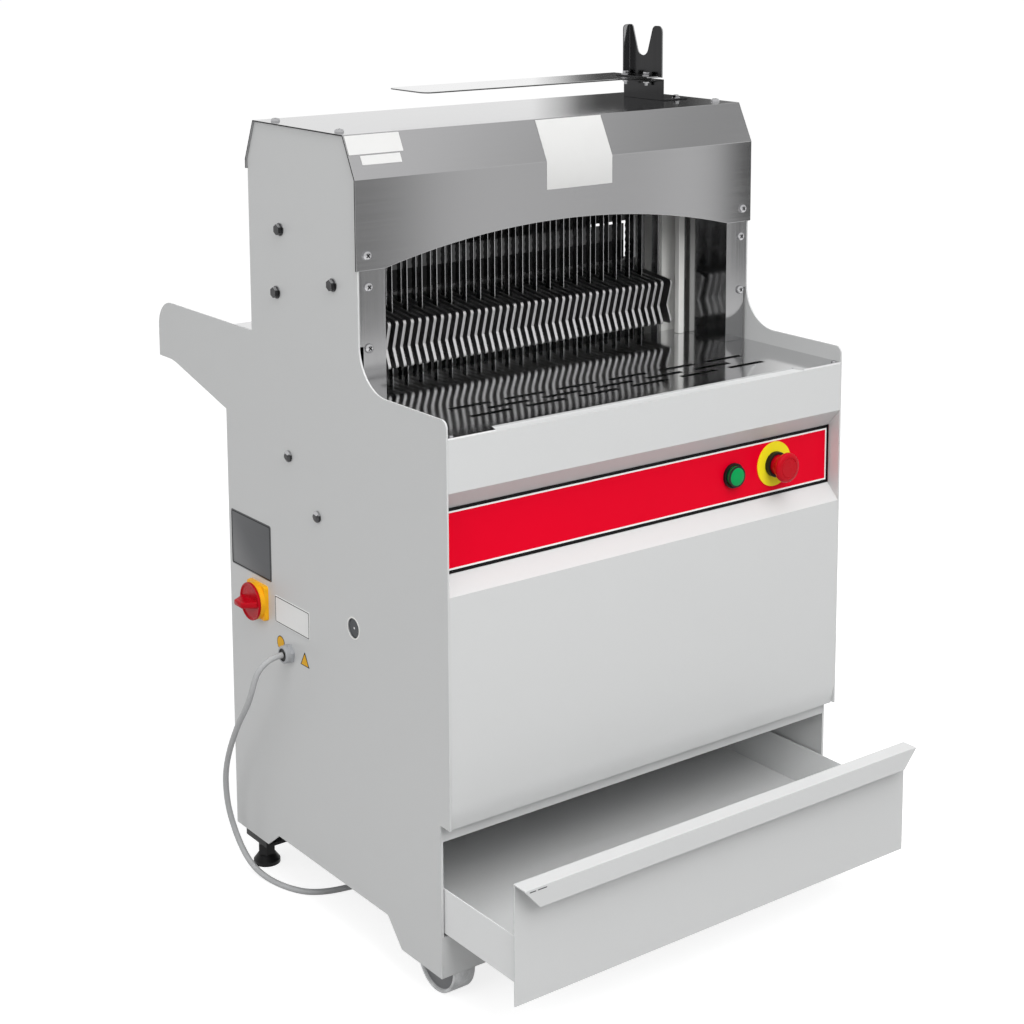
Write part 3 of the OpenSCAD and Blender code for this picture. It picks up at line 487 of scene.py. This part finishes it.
ROUTE = [
    (-332, 367, 346), (-336, 367, 346), (-344.8, 367.4, 344.8), (-353, 368.6, 341.4), (-359.8, 370.4, 336),
    (-365, 372.6, 328.6), (-368.2, 375.6, 318.5), (-369.8, 381.5, 302), (-370, 393.7, 279.4),
    (-369, 416.2, 250.8), (-367, 436.1, 224.6), (-364, 455.1, 198.1), (-360.5, 471.6, 172.9),
    (-357, 484.6, 147.3), (-352, 494.6, 120.4), (-347, 499.3, 92.5), (-341, 497.7, 63.5),
    (-335.5, 487.8, 36.3), (-331, 470, 16.5), (-327, 446, 7.2), (-322, 418, 4.5), (-314, 390, 4.5),
    (-300, 367, 4.5), (-276, 352, 4.5), (-248, 345, 4.5), (-220, 341, 4.5), (-190, 340, 4.5),
    (-160, 340, 4.5), (-130, 340, 4.5), (-110, 340, 4.5)]
PLUG_END = [
    (-114, 234.8, 13.2), (-126, 234.8, 14.7), (-138, 234.8, 17.3), (-150, 234.8, 18.8), (-164, 234.8, 18.8)]
CORD_D = 0.008
COIL_X, COIL_Y, COIL_R = -102, 287.4, 52.6
COIL_PITCH = 8.6
COIL_LAYERS = (4.5, 13.2)
TURN_STEPS = 24
COIL_STEPS = 108
CLIMB = (48, 60)


def coil_point(i):
    """A point of the coil: turns inward on the floor, a climb, and turns outward on top of them."""
    radius = COIL_R - COIL_PITCH * min(i, COIL_STEPS - i) / TURN_STEPS
    angle = math.radians(90 - 360 / TURN_STEPS * i)
    low, high = COIL_LAYERS
    share = min(max((i - CLIMB[0]) / (CLIMB[1] - CLIMB[0]), 0), 1)
    z = low + (high - low) * (1 - math.cos(math.pi * share)) / 2
    return COIL_X + radius * math.cos(angle), COIL_Y + radius * math.sin(angle), z


LINE = ROUTE + [coil_point(i) for i in range(COIL_STEPS + 1)] + PLUG_END


def smooth_line(points, step=3.0):
    """A natural cubic spline through the points, by chord length, sampled every few millimetres."""
    knots = np.array(points, float)
    spans = np.linalg.norm(np.diff(knots, axis=0), axis=1)
    along = np.concatenate(([0], np.cumsum(spans)))
    count = len(knots)
    system = np.eye(count)
    target = np.zeros((count, 3))
    for i in range(1, count - 1):
        before, after = spans[i - 1], spans[i]
        system[i, i - 1:i + 2] = before, 2 * (before + after), after
        target[i] = 6 * ((knots[i + 1] - knots[i]) / after - (knots[i] - knots[i - 1]) / before)
    bend = np.linalg.solve(system, target)
    line = []
    for t in np.linspace(0, along[-1], int(along[-1] / step) + 1):
        i = min(max(int(np.searchsorted(along, t)) - 1, 0), count - 2)
        span, left, done = spans[i], along[i + 1] - t, t - along[i]
        line.append((bend[i] * left ** 3 + bend[i + 1] * done ** 3) / (6 * span)
                    + (knots[i] / span - bend[i] * span / 6) * left
                    + (knots[i + 1] / span - bend[i + 1] * span / 6) * done)
    return [at(*point) for point in line]


def make_tie():
    """A black tie round the turns of the coil, with its lock on top."""
    half_width = 3.2
    middle = at(COIL_X + 43.8, COIL_Y, 9.0)
    outer, inner = (29, 17.9), (27, 17.0)
    bm = bmesh.new()
    skin(bm, [round_rect(middle + Y * (side * half_width / 1000), X, Z, *size, 4)
              for side, size in ((-1, outer), (1, outer), (1, inner), (-1, inner))], ring=True)
    prism(bm, round_rect(at(COIL_X + 46, COIL_Y, 17.8), X, Y, 9, 8, 1.5), Z * 4, 0.1)
    return piece("cord_tie", bm, "black_plastic", "cabinet", 40)


def make_cord():
    """The cord as one smooth curve, with its tie."""
    line = smooth_line(LINE)
    data = bpy.data.curves.new("supply_cord", "CURVE")
    data.dimensions = "3D"
    data.bevel_depth = CORD_D / 2
    data.bevel_resolution = 4
    data.use_fill_caps = True
    spline = data.splines.new("POLY")
    spline.points.add(len(line) - 1)
    for point, place in zip(spline.points, line):
        point.co = (*place, 1)
    spline.use_smooth = True
    cord = bpy.data.objects.new("supply_cord", data)
    scene.collection.objects.link(cord)
    data.materials.append(MATS["cord_grey"])
    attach(cord, "cabinet")
    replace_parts(cord, "cord_run", "cord_coil")
    tie = make_tie()


make_cord()


# Softened metal and plastic: the width of each node's edge in millimetres, and its steps

SOFT_EDGES = {
    "left_side_panel": (0.7, 2), "right_side_panel": (0.7, 2), "front_panel": (0.7, 3),
    "drawer_front": (0.8, 3), "drawer_tray": (0.5, 2), "front_skirt": (0.6, 2), "hood": (0.5, 2),
    "columns": (0.5, 2), "guard_posts": (1.2, 3), "comb_beam": (0.6, 2), "bag_bracket": (0.5, 2),
    "button_collars": (0.9, 3), "estop_ring": (0.3, 2), "levelling_feet": (0.8, 2),
    "rear_foot_brackets": (0.8, 2), "left_wheel": (2.0, 3),
    "right_wheel": (2.0, 3), "caster_brackets": (0.8, 2), "left_press_knob": (1.6, 3),
    "right_press_knob": (1.6, 3), "comb_handle": (1.8, 3), "comb_bushes": (1.5, 2), "rod_blocks": (1.5, 2),
    "motor": (1.4, 2), "bearing_blocks": (1.2, 2), "front_rods": (1.0, 2), "rear_rods": (1.0, 2),
    "press_plate": (0.5, 2), "contact_blocks": (1.0, 2), "motor_pulley": (0.7, 2), "crank_pulley": (0.7, 2),
    "front_blade_frame": (0.8, 2), "rear_blade_frame": (0.8, 2),
}
for node, (width, steps) in SOFT_EDGES.items():
    soften(node, width, steps)
# The fingers' front faces take the painted highlight.
soften("comb_fingers", 0.9, 2, "finger", lambda normal: normal.y < -0.6)
# The blades' front faces take the painted highlight, and the rest the painted shade.
for node in ("front_blades", "rear_blades"):
    soften(node, 0, second="blade_edge_highlight", where=lambda normal: normal.y < -0.3)
# The fork's front faces take the lighter upright stainless as a painted highlight.
soften("bag_fork", 0.5, 2, "upright", lambda normal: normal.y < -0.5)
# The bag tray's upright faces take the painted shade.
soften("bag_tray", 0.3, 1, "tray_edge_shade", lambda normal: abs(normal.z) < 0.6)
# The bolts' upward faces take the lighter screw steel as a painted highlight.
soften("side_bolts", 0.6, 2, "screw", lambda normal: normal.z > 0.35)


# Controls

def make_stop():
    """The emergency stop's mushroom head, with a groove round its top."""
    bm = bmesh.new()
    lathe(bm, [(13.4, 0), (13.4, 13.4), (14.2, 14.1), (17.2, 14.5), (19.0, 16.2), (19.8, 18.0), (20.0, 19.6),
               (19.7, 21.3), (18.6, 22.7), (16.8, 23.5), (14.6, 23.8), (13.4, 23.9), (13.0, 23.4),
               (12.5, 23.4), (12.1, 23.9), (8, 24.0), (0, 24.0)], at(216, 14, 588), FRONT, 64)
    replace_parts(piece("stop_mushroom", bm, "red_plastic", "stop_head", 40), "estop_head")


def make_start():
    """The start button: a green lens with a black rim."""
    rim_r, rim_h, side_r = 11.95, 7.7, 10.9
    middle = at(142.5, 18, 585)

    def index(radius, height):
        """0 for the lens, 1 for the black rim and 2 for the side, painted darker green as shade."""
        if radius > rim_r and height > rim_h:
            return 1
        return 2 if radius > side_r and height > 0 else 0

    bm = bmesh.new()
    lathe(bm, [(8, -13), (8, 0), (11, 0), (11, 3.3), (14.0, 3.3), (14.2, 3.6), (14.2, 7.7), (13.9, 8.3),
               (13.3, 8.5), (12.4, 8.5), (12.2, 8.2), (11.9, 8.2), (11.6, 8.45), (6, 8.75), (0, 8.85)],
          middle, FRONT, 64)
    mark_faces(bm, middle, FRONT, index)
    lens = piece("start_lens", bm, "green_lens", "start", 40)
    lens.data.materials.append(MATS["black_plastic"])
    lens.data.materials.append(MATS["green_side_shade"])
    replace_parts(lens, "start_button")


def make_switch():
    """The main switch: a square plate with a round body, and a dished disc with a tapered grip."""
    place = (445, 398)
    inside = -40
    bm = bmesh.new()
    prism(bm, side_rect(*place, 48, 48, 4), LEFT * 6, 0.02)
    lathe(bm, [(24, 5), (25.6, 5.4), (25.6, 11.4), (25.0, 12.0), (0, 12.0)], at(-HALF_W, *place), LEFT, 64)
    for size, depth in ((22, 39.9), (44, 38.4)):
        prism(bm, side_rect(*place, size, size, 2, inside), LEFT * depth)
    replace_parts(piece("switch_body", bm, "yellow_plastic", "cabinet", 40), "switch_plate")

    bm = bmesh.new()
    lathe(bm, [(24.8, 0), (25.6, 0.5), (25.7, 3.0), (25.3, 3.7), (24.2, 3.8), (23.4, 3.4), (22.8, 2.2),
               (0, 2.2)], at(-HALF_W - 12.3, *place), LEFT, 64)
    grip = ((14, 42, 9.5, 2), (20, 38, 9, 3), (29, 26, 8.6, 3), (32, 24, 8.2, 3), (33, 21, 6.6, 2.4))
    skin(bm, [side_rect(*place, length, height, radius, out) for out, length, height, radius in grip])
    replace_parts(piece("switch_grip", bm, "red_plastic", "main_switch", 40), "switch_knob")


def make_gland():
    """The cord's gland: a hexagon on the panel, a round nut whose hollow round the cord is painted dark as
    shade, and its parts inside.
    """
    hollow_r, hollow_h = 8.8, 9.5
    middle = at(-HALF_W, GLAND_Y, GLAND_Z)
    bm = bmesh.new()
    lathe(bm, [(13.2, 0), (13.4, 0.4), (13.4, 4.2), (12.6, 5)], middle, LEFT, 6)
    lathe(bm, [(11.4, 4.5), (11.9, 5.2), (11.9, 10.6), (11.2, 11.8), (9.2, 12), (8.6, 11.6), (8.4, 10.2),
               (0, 10.2)], middle, LEFT, 48)
    lathe(bm, [(7.5, -14), (7.5, 0.5)], middle, LEFT, 32)
    lathe(bm, [(12, -6.5), (12, -1.6)], middle, LEFT, 6)
    mark_faces(bm, middle, LEFT, lambda r, h: h > hollow_h and r < hollow_r)
    gland = piece("gland_nut", bm, "grey_plastic", "cabinet", 30)
    gland.data.materials.append(MATS["recess"])
    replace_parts(gland, "cable_gland")


def make_strip_line(name, look, inset, width):
    """A line round the red strip, inset from its edge."""
    half_w, low, high = 317.2, 545.1, 624.9
    back_y, face_y = 19.7, 19.55

    def outline(d, y):
        return [at(x, y, z) for x, z in ((d - half_w, low + d), (half_w - d, low + d),
                                         (half_w - d, high - d), (d - half_w, high - d))]

    bm = bmesh.new()
    skin(bm, [outline(inset, back_y), outline(inset, face_y),
              outline(inset + width, face_y), outline(inset + width, back_y)], ring=True)
    piece(name, bm, look, "cabinet")


make_stop()
make_start()
make_switch()
make_gland()
make_strip_line("strip_border", "black_line", 0, 4.2)
make_strip_line("strip_line", "label", 4.2, 2.2)


# Bare labels, plates and stickers

RATING_PLATE = (464.5, 468.6)
SIDE_LABEL = (359, 397.5)
DISC = (390.5, 352.9)
TRIANGLE = (329, 339.6)


def side_border(bm, place, width, height, line, radius):
    """A thin border on the left panel."""
    low, high = 0.2, 0.75
    section = ((low, 0, radius), (high, 0, radius), (high, line, radius / 2), (low, line, radius / 2))
    skin(bm, [side_rect(*place, width - 2 * inset, height - 2 * inset, corner, out)
              for out, inset, corner in section], ring=True)


def triangle(half, out):
    """An upright triangle with cut corners on the left panel, from the points of its one half."""
    points = [*half, *[(-y, z) for y, z in reversed(half)]]
    return [at(-HALF_W - out, TRIANGLE[0] + y, TRIANGLE[1] + z) for y, z in points]


def make_plates():
    """The rating plate and the label on the left panel, their borders, and the black rims of the stickers."""
    bm = bmesh.new()
    prism(bm, side_rect(*RATING_PLATE, 107, 77, 3), LEFT * 0.6, 0.008)
    piece("rating_plate", bm, "plate", "cabinet")
    bm = bmesh.new()
    prism(bm, side_rect(*SIDE_LABEL, 88, 37, 1), LEFT * 0.6)
    piece("side_label", bm, "label", "cabinet")
    bm = bmesh.new()
    side_border(bm, RATING_PLATE, 104, 74, 1.3, 3)
    side_border(bm, SIDE_LABEL, 86, 35, 0.9, 1)
    lathe(bm, [(9.8, 0), (9.8, 0.2), (0, 0.22)], at(-HALF_W, *DISC), LEFT, 40)
    prism(bm, triangle([(11.2, 0), (10.2, 1.4), (0.7, 18.4)], 0), LEFT * 0.2)
    piece("plate_borders", bm, "black_line", "cabinet")


def make_hood_labels():
    """Two small labels on the hood's chamfer, and a large one that is folded over it."""
    rise_y, rise_z, chamfer = 25.5, 51.6, 57.2
    up, out = Vector((0, 0.4472, 0.8944)), Vector((0, -0.8944, 0.4472))
    thick = 0.3
    bm = bmesh.new()
    for x0, x1, low, high in ((-321, -243, 0.55, 0.985), (-306, -249, 0.31, 0.52)):
        share = (low + high) / 2
        middle = at((x0 + x1) / 2, HOOD_FRONT_Y + rise_y * share, HOOD_FOLD_Z + rise_z * share)
        prism(bm, round_rect(middle, X, up, x1 - x0, chamfer * (high - low), 0.8), out * thick)
    piece("small_labels", bm, "dimmed_label", "cabinet")

    x0, x1 = -33.6, 74.0
    line = ((HOOD_FRONT_Y, 955.8, -1, 0), (HOOD_FRONT_Y, HOOD_FOLD_Z, -0.97, 0.24),
            (209.2, 1043.2, -0.894, 0.447))
    back = [(y, z) for y, z, ny, nz in line]
    face = [(y + thick * ny, z + thick * nz) for y, z, ny, nz in line]
    bm = bmesh.new()
    prism(bm, [at(x0, y, z) for y, z in back + face[::-1]], X * (x1 - x0))
    piece("hood_label", bm, "dimmed_label", "cabinet")


def make_stickers():
    """The amber faces of the round and the three-cornered sticker."""
    bm = bmesh.new()
    lathe(bm, [(8.7, 0.1), (8.7, 0.35), (0, 0.4)], at(-HALF_W, *DISC), LEFT, 40)
    prism(bm, triangle([(8.6, 1.2), (7.9, 2.2), (0.5, 15.8)], 0.1), LEFT * 0.25)
    piece("yellow_stickers", bm, "amber_film", "cabinet")


make_plates()
make_hood_labels()
make_stickers()


# Fasteners and edges

def make_panel_screws():
    """The screws of the hood, columns, tables and rear panels, alike on both sides."""
    large, medium, small, tiny = (5.9, 3.7), (4.2, 2.6), (3.6, 2.2), (3.2, 2)
    screws = [
        (307, HOOD_FRONT_Y, 900, FRONT, large), (305, COLUMN_FRONT_Y, 861, FRONT, large),
        (305, COLUMN_FRONT_Y, 785.5, FRONT, large), (305, 400, HOOD_TOP_Z, Z, large),
        (307, 242, HOOD_TOP_Z, Z, large), (310, 6, TABLE_Z, Z, tiny), (305, HOOD_REAR_Y, 985, Y, medium)]
    screws += [(305, REAR_PANEL_Y, z, Y, medium) for z in (95, 300, 500, 690)]
    screws += [(307, y, TABLE_Z, Z, small) for y in (380, 560, 700)]
    bm = bmesh.new()
    for side in (-1, 1):
        for x, y, z, axis, size in screws:
            screw(bm, at(x * side, y, z), axis, *size)
    piece("panel_screws", bm, "screw", "cabinet", 40).data.materials.append(MATS["recess"])


def make_bag_holder_bolts():
    """The bolts of the bag tray with their washers and nuts, and those of its bracket."""
    bm = bmesh.new()
    for x, y in ((240, 357), (247, 320)):
        top = at(x, y, 1078.5)
        lathe(bm, [(6.2, 0), (6.2, 0.9), (5.6, 1.1)], top, Z, 32)
        lathe(bm, [(4.6, 0.9), (4.9, 1.3), (4.9, 4.4), (4.2, 5.0), (0, 5.0)], top, Z, 6)
        lathe(bm, [(4.9, 0), (4.9, 4.2), (2.6, 4.2), (2.4, 8), (0, 8)], at(x, y, 1072.5), -Z, 6)
    for y in (300, 368):
        top = at(285, y, 1046.5)
        lathe(bm, [(5.6, 0), (5.6, 0.8), (5.2, 1.0)], top, Z, 32)
        lathe(bm, [(4.4, 0.8), (4.6, 1.2), (4.6, 3.6), (4.0, 4.2), (0, 4.2)], top, Z, 6)
    piece("bag_holder_bolts", bm, "screw", "cabinet", 40)


def make_hood_edges():
    """Thin dark strips along the hood's sheet at both ends, painting the shadow line between hood and side
    panel.
    """
    profile = [(184, 881.7), (184, 992.35), (210.1, 1044.5), (428.5, 1044.5), (450.5, 992.3), (450.5, 980.2),
               (449, 980.2), (449, 992), (427.5, 1043), (211, 1043), (185.5, 992), (185.5, 881.7)]
    bm = bmesh.new()
    for side in (-1, 1):
        prism(bm, [at(322.5 * side, y, z) for y, z in profile], X * (0.2 * side))
    piece("hood_edge_shadow_lines", bm, "black_line", "cabinet")


def make_shaft_end():
    """The end of the motor's shaft with a pale painted highlight at its centre, and a pale painted highlight on
    the rim of the hole that shows it.
    """
    glint_r, glint_h = 1.6, 6
    foot = at(-311, SHAFT_Y, SHAFT_Z)
    bm = bmesh.new()
    lathe(bm, [(12.2, 0), (12.2, 7.2), (11.6, 7.9), (1.5, 7.9), (0.9, 7.2), (0, 7.0)], foot, LEFT, 48)
    mark_faces(bm, foot, LEFT, lambda r, h: r < glint_r and h > glint_h)
    piece("shaft_end", bm, "dark_steel", "motor_drive", 40).data.materials.append(MATS["label"])
    bm = bmesh.new()
    tube(bm, [(12.7, 0.05), (12.7, 0.3), (14.4, 0.3), (14.7, 0.05)], at(-HALF_W, SHAFT_Y, SHAFT_Z), LEFT)
    piece("hole_rim_highlight", bm, "white_plastic", "cabinet")


def make_drawer_rail():
    """The rail across the top of the drawer's opening, and the narrow flanges at its sides."""
    bm = bmesh.new()
    prism(bm, front_rect(0, 22.4, 225.4, 634, 19.8, 0.8), FRONT * 1.8, 0.0008)
    for side in (-1, 1):
        prism(bm, front_rect(318.2 * side, 20.5, 147, 3.4, 178, 0.4), FRONT * 0.3)
    piece("drawer_rail", bm, "painted", "cabinet")


def make_press_edge():
    """The rubber edge of the press plate."""
    bm = bmesh.new()
    prism(bm, front_rect(0, 360, 826.3, 478, 27, 1), FRONT * 1.4, 0.001)
    piece("press_edge", bm, "belt_rubber", "press")


def make_axle_nuts():
    """A washer and a nut at both ends of each wheel's axle."""
    half_axle = 20.5
    bm = bmesh.new()
    for wheel in (-1, 1):
        for end in (-1, 1):
            foot = at(WHEEL_X * wheel + half_axle * end, WHEEL_Y, WHEEL_Z)
            lathe(bm, [(9.6, 0), (9.6, 1), (8.8, 1.2)], foot, X * end, 32)
            lathe(bm, [(8.2, 1), (8.4, 1.4), (8.4, 5.4), (7.4, 6), (0, 6)], foot, X * end, 6)
    piece("axle_nuts", bm, "zinc", "cabinet", 40)


def make_handle_reliefs():
    """Bend reliefs at the left end of the drawer's folded handle, drawn as thin black strips that paint the
    shade in the slots.
    """
    bm = bmesh.new()
    for x, width in ((-309.5, 9), (-296, 13)):
        prism(bm, front_rect(x, -148, 219.8, width, 1.1, 0.5), FRONT * 0.12)
    piece("handle_reliefs", bm, "black_line", "drawer")


make_panel_screws()
make_bag_holder_bolts()
make_hood_edges()
make_shaft_end()
make_drawer_rail()
make_press_edge()
make_axle_nuts()
make_handle_reliefs()


# Stage and light

def add_plane(name, corners, mat):
    """A flat face of the stage."""
    mesh = bpy.data.meshes.new(name)
    mesh.from_pydata(corners, [], [list(range(len(corners)))])
    mesh.materials.append(mat)
    obj = bpy.data.objects.new(name, mesh)
    scene.collection.objects.link(obj)
    return obj


def seen_directly(m):
    """1 for rays from the camera, or by way of gloss or glass."""
    path = m.add("ShaderNodeLightPath")
    first = m.add("ShaderNodeMath", operation="MAXIMUM")
    m.join(path.outputs["Is Camera Ray"], first.inputs[0])
    m.join(path.outputs["Is Glossy Ray"], first.inputs[1])
    second = m.add("ShaderNodeMath", operation="MAXIMUM")
    m.join(first.outputs[0], second.inputs[0])
    m.join(path.outputs["Is Transmission Ray"], second.inputs[1])
    return second.outputs[0]


def show_directly(m, lighting, seen, out):
    """Joins the shader seen for rays that see it directly, and the shader lighting for all others."""
    mix = m.add("ShaderNodeMixShader")
    m.join(seen_directly(m), mix.inputs[0])
    m.join(lighting.outputs[0], mix.inputs[1])
    m.join(seen.outputs[0], mix.inputs[2])
    m.join(mix.outputs[0], out.inputs["Surface"])


def make_floor():
    """A floor that looks white, keeps the object's shadow and throws little light back."""
    reach = 30
    m = Nodes(bpy.data.materials.new("floor"))
    out = m.add("ShaderNodeOutputMaterial")
    plain = m.add("ShaderNodeBsdfDiffuse", {"Color": (0.36, 0.36, 0.36, 1)})
    pale = m.add("ShaderNodeBsdfDiffuse", {"Color": (0.42, 0.42, 0.42, 1)})
    glow = m.add("ShaderNodeEmission", {"Strength": 0.8})
    both = m.add("ShaderNodeAddShader")
    m.join(pale.outputs[0], both.inputs[0])
    m.join(glow.outputs[0], both.inputs[1])
    show_directly(m, plain, both, out)
    corners = [(-reach, -reach, 0), (reach, -reach, 0), (reach, reach, 0), (-reach, reach, 0)]
    add_plane("floor", corners, m.owner)


def make_card(name, low, high, shades):
    """A card that only gloss sees, from corner low to corner high, with shades as (x, strength) along X."""
    m = Nodes(bpy.data.materials.new(name))
    x0, x1 = low[0], high[0]
    split = m.add("ShaderNodeSeparateXYZ")
    m.join(m.add("ShaderNodeTexCoord").outputs["Object"], split.inputs["Vector"])
    along = m.add("ShaderNodeMapRange", {"From Min": x0, "From Max": x1})
    m.join(split.outputs["X"], along.inputs["Value"])
    ramp = m.add("ShaderNodeValToRGB")
    stops = ramp.color_ramp.elements
    for x, shade in shades[1:-1]:
        stops.new((x - x0) / (x1 - x0))
    for stop, (x, shade) in zip(stops, shades):
        stop.color = (shade, shade, shade, 1)
    m.join(along.outputs["Result"], ramp.inputs["Fac"])
    glow = m.add("ShaderNodeEmission")
    m.join(ramp.outputs["Color"], glow.inputs["Color"])
    out = m.add("ShaderNodeOutputMaterial")
    m.join(glow.outputs[0], out.inputs["Surface"])
    obj = add_plane(name, [low, (x1, *low[1:]), high, (x0, *high[1:])], m.owner)
    obj.visible_camera = False
    obj.visible_diffuse = False
    obj.visible_shadow = False
    obj.visible_transmission = False


def make_cards():
    """The room that the metal shows, in place of an even white."""
    make_card("front_card", (1.2, -3, 0.04), (3.6, -3, 1.1),
              [(1.2, 0.5), (1.5, 0.32), (1.57, 0.36), (1.66, 0.52), (1.8, 0.8), (1.95, 0.86), (2.3, 0.8),
               (2.58, 0.74), (2.84, 1.0), (2.95, 0.95), (2.985, 0.03), (3.3, 0.03), (3.45, 0.5), (3.6, 1.0)])
    make_card("high_card", (0.9, -2.3, 2.5), (2.7, -0.9, 2.5),
              [(0.9, 1.0), (1.2, 0.98), (1.41, 0.86), (2.03, 0.58), (2.3, 0.53), (2.7, 0.7)])
    make_card("rear_card", (2.0, 2.6, 1.0), (3.2, 2.6, 2.4),
              [(2.0, 1.0), (2.1, 0.62), (2.18, 0.2), (2.25, 0.08), (2.6, 0.06), (2.75, 0.2), (3.2, 1.0)])


def make_world():
    """A soft even light that looks white."""
    scene.world = bpy.data.worlds.new("studio")
    m = Nodes(scene.world)
    out = m.add("ShaderNodeOutputWorld")
    soft = m.add("ShaderNodeBackground", {"Color": (1, 1, 1, 1), "Strength": 0.5})
    white = m.add("ShaderNodeBackground", {"Color": (1, 1, 1, 1)})
    show_directly(m, soft, white, out)


def make_lamps():
    """Three soft lamps that gloss doesn't see."""
    for name, place, target, size, power in (
            ("key", Vector((-0.5, -3.3, 3.0)), Vector((0, -0.2, 0.5)), 2.4, 88),
            ("fill", Vector((-3.3, -0.9, 2.2)), Vector((0, 0, 0.6)), 2.4, 33),
            ("top", Vector((0.1, -1.1, 3.6)), Vector((0.1, -0.3, 0)), 2.6, 54)):
        data = bpy.data.lights.new(name, "AREA")
        data.energy = power
        data.size = size
        lamp = bpy.data.objects.new(name, data)
        scene.collection.objects.link(lamp)
        turn = (target - place).to_track_quat("-Z", "Y").to_matrix().to_4x4()
        lamp.matrix_world = Matrix.Translation(place) @ turn
        lamp.visible_camera = False
        lamp.visible_glossy = False


make_floor()
make_cards()
make_world()
make_lamps()
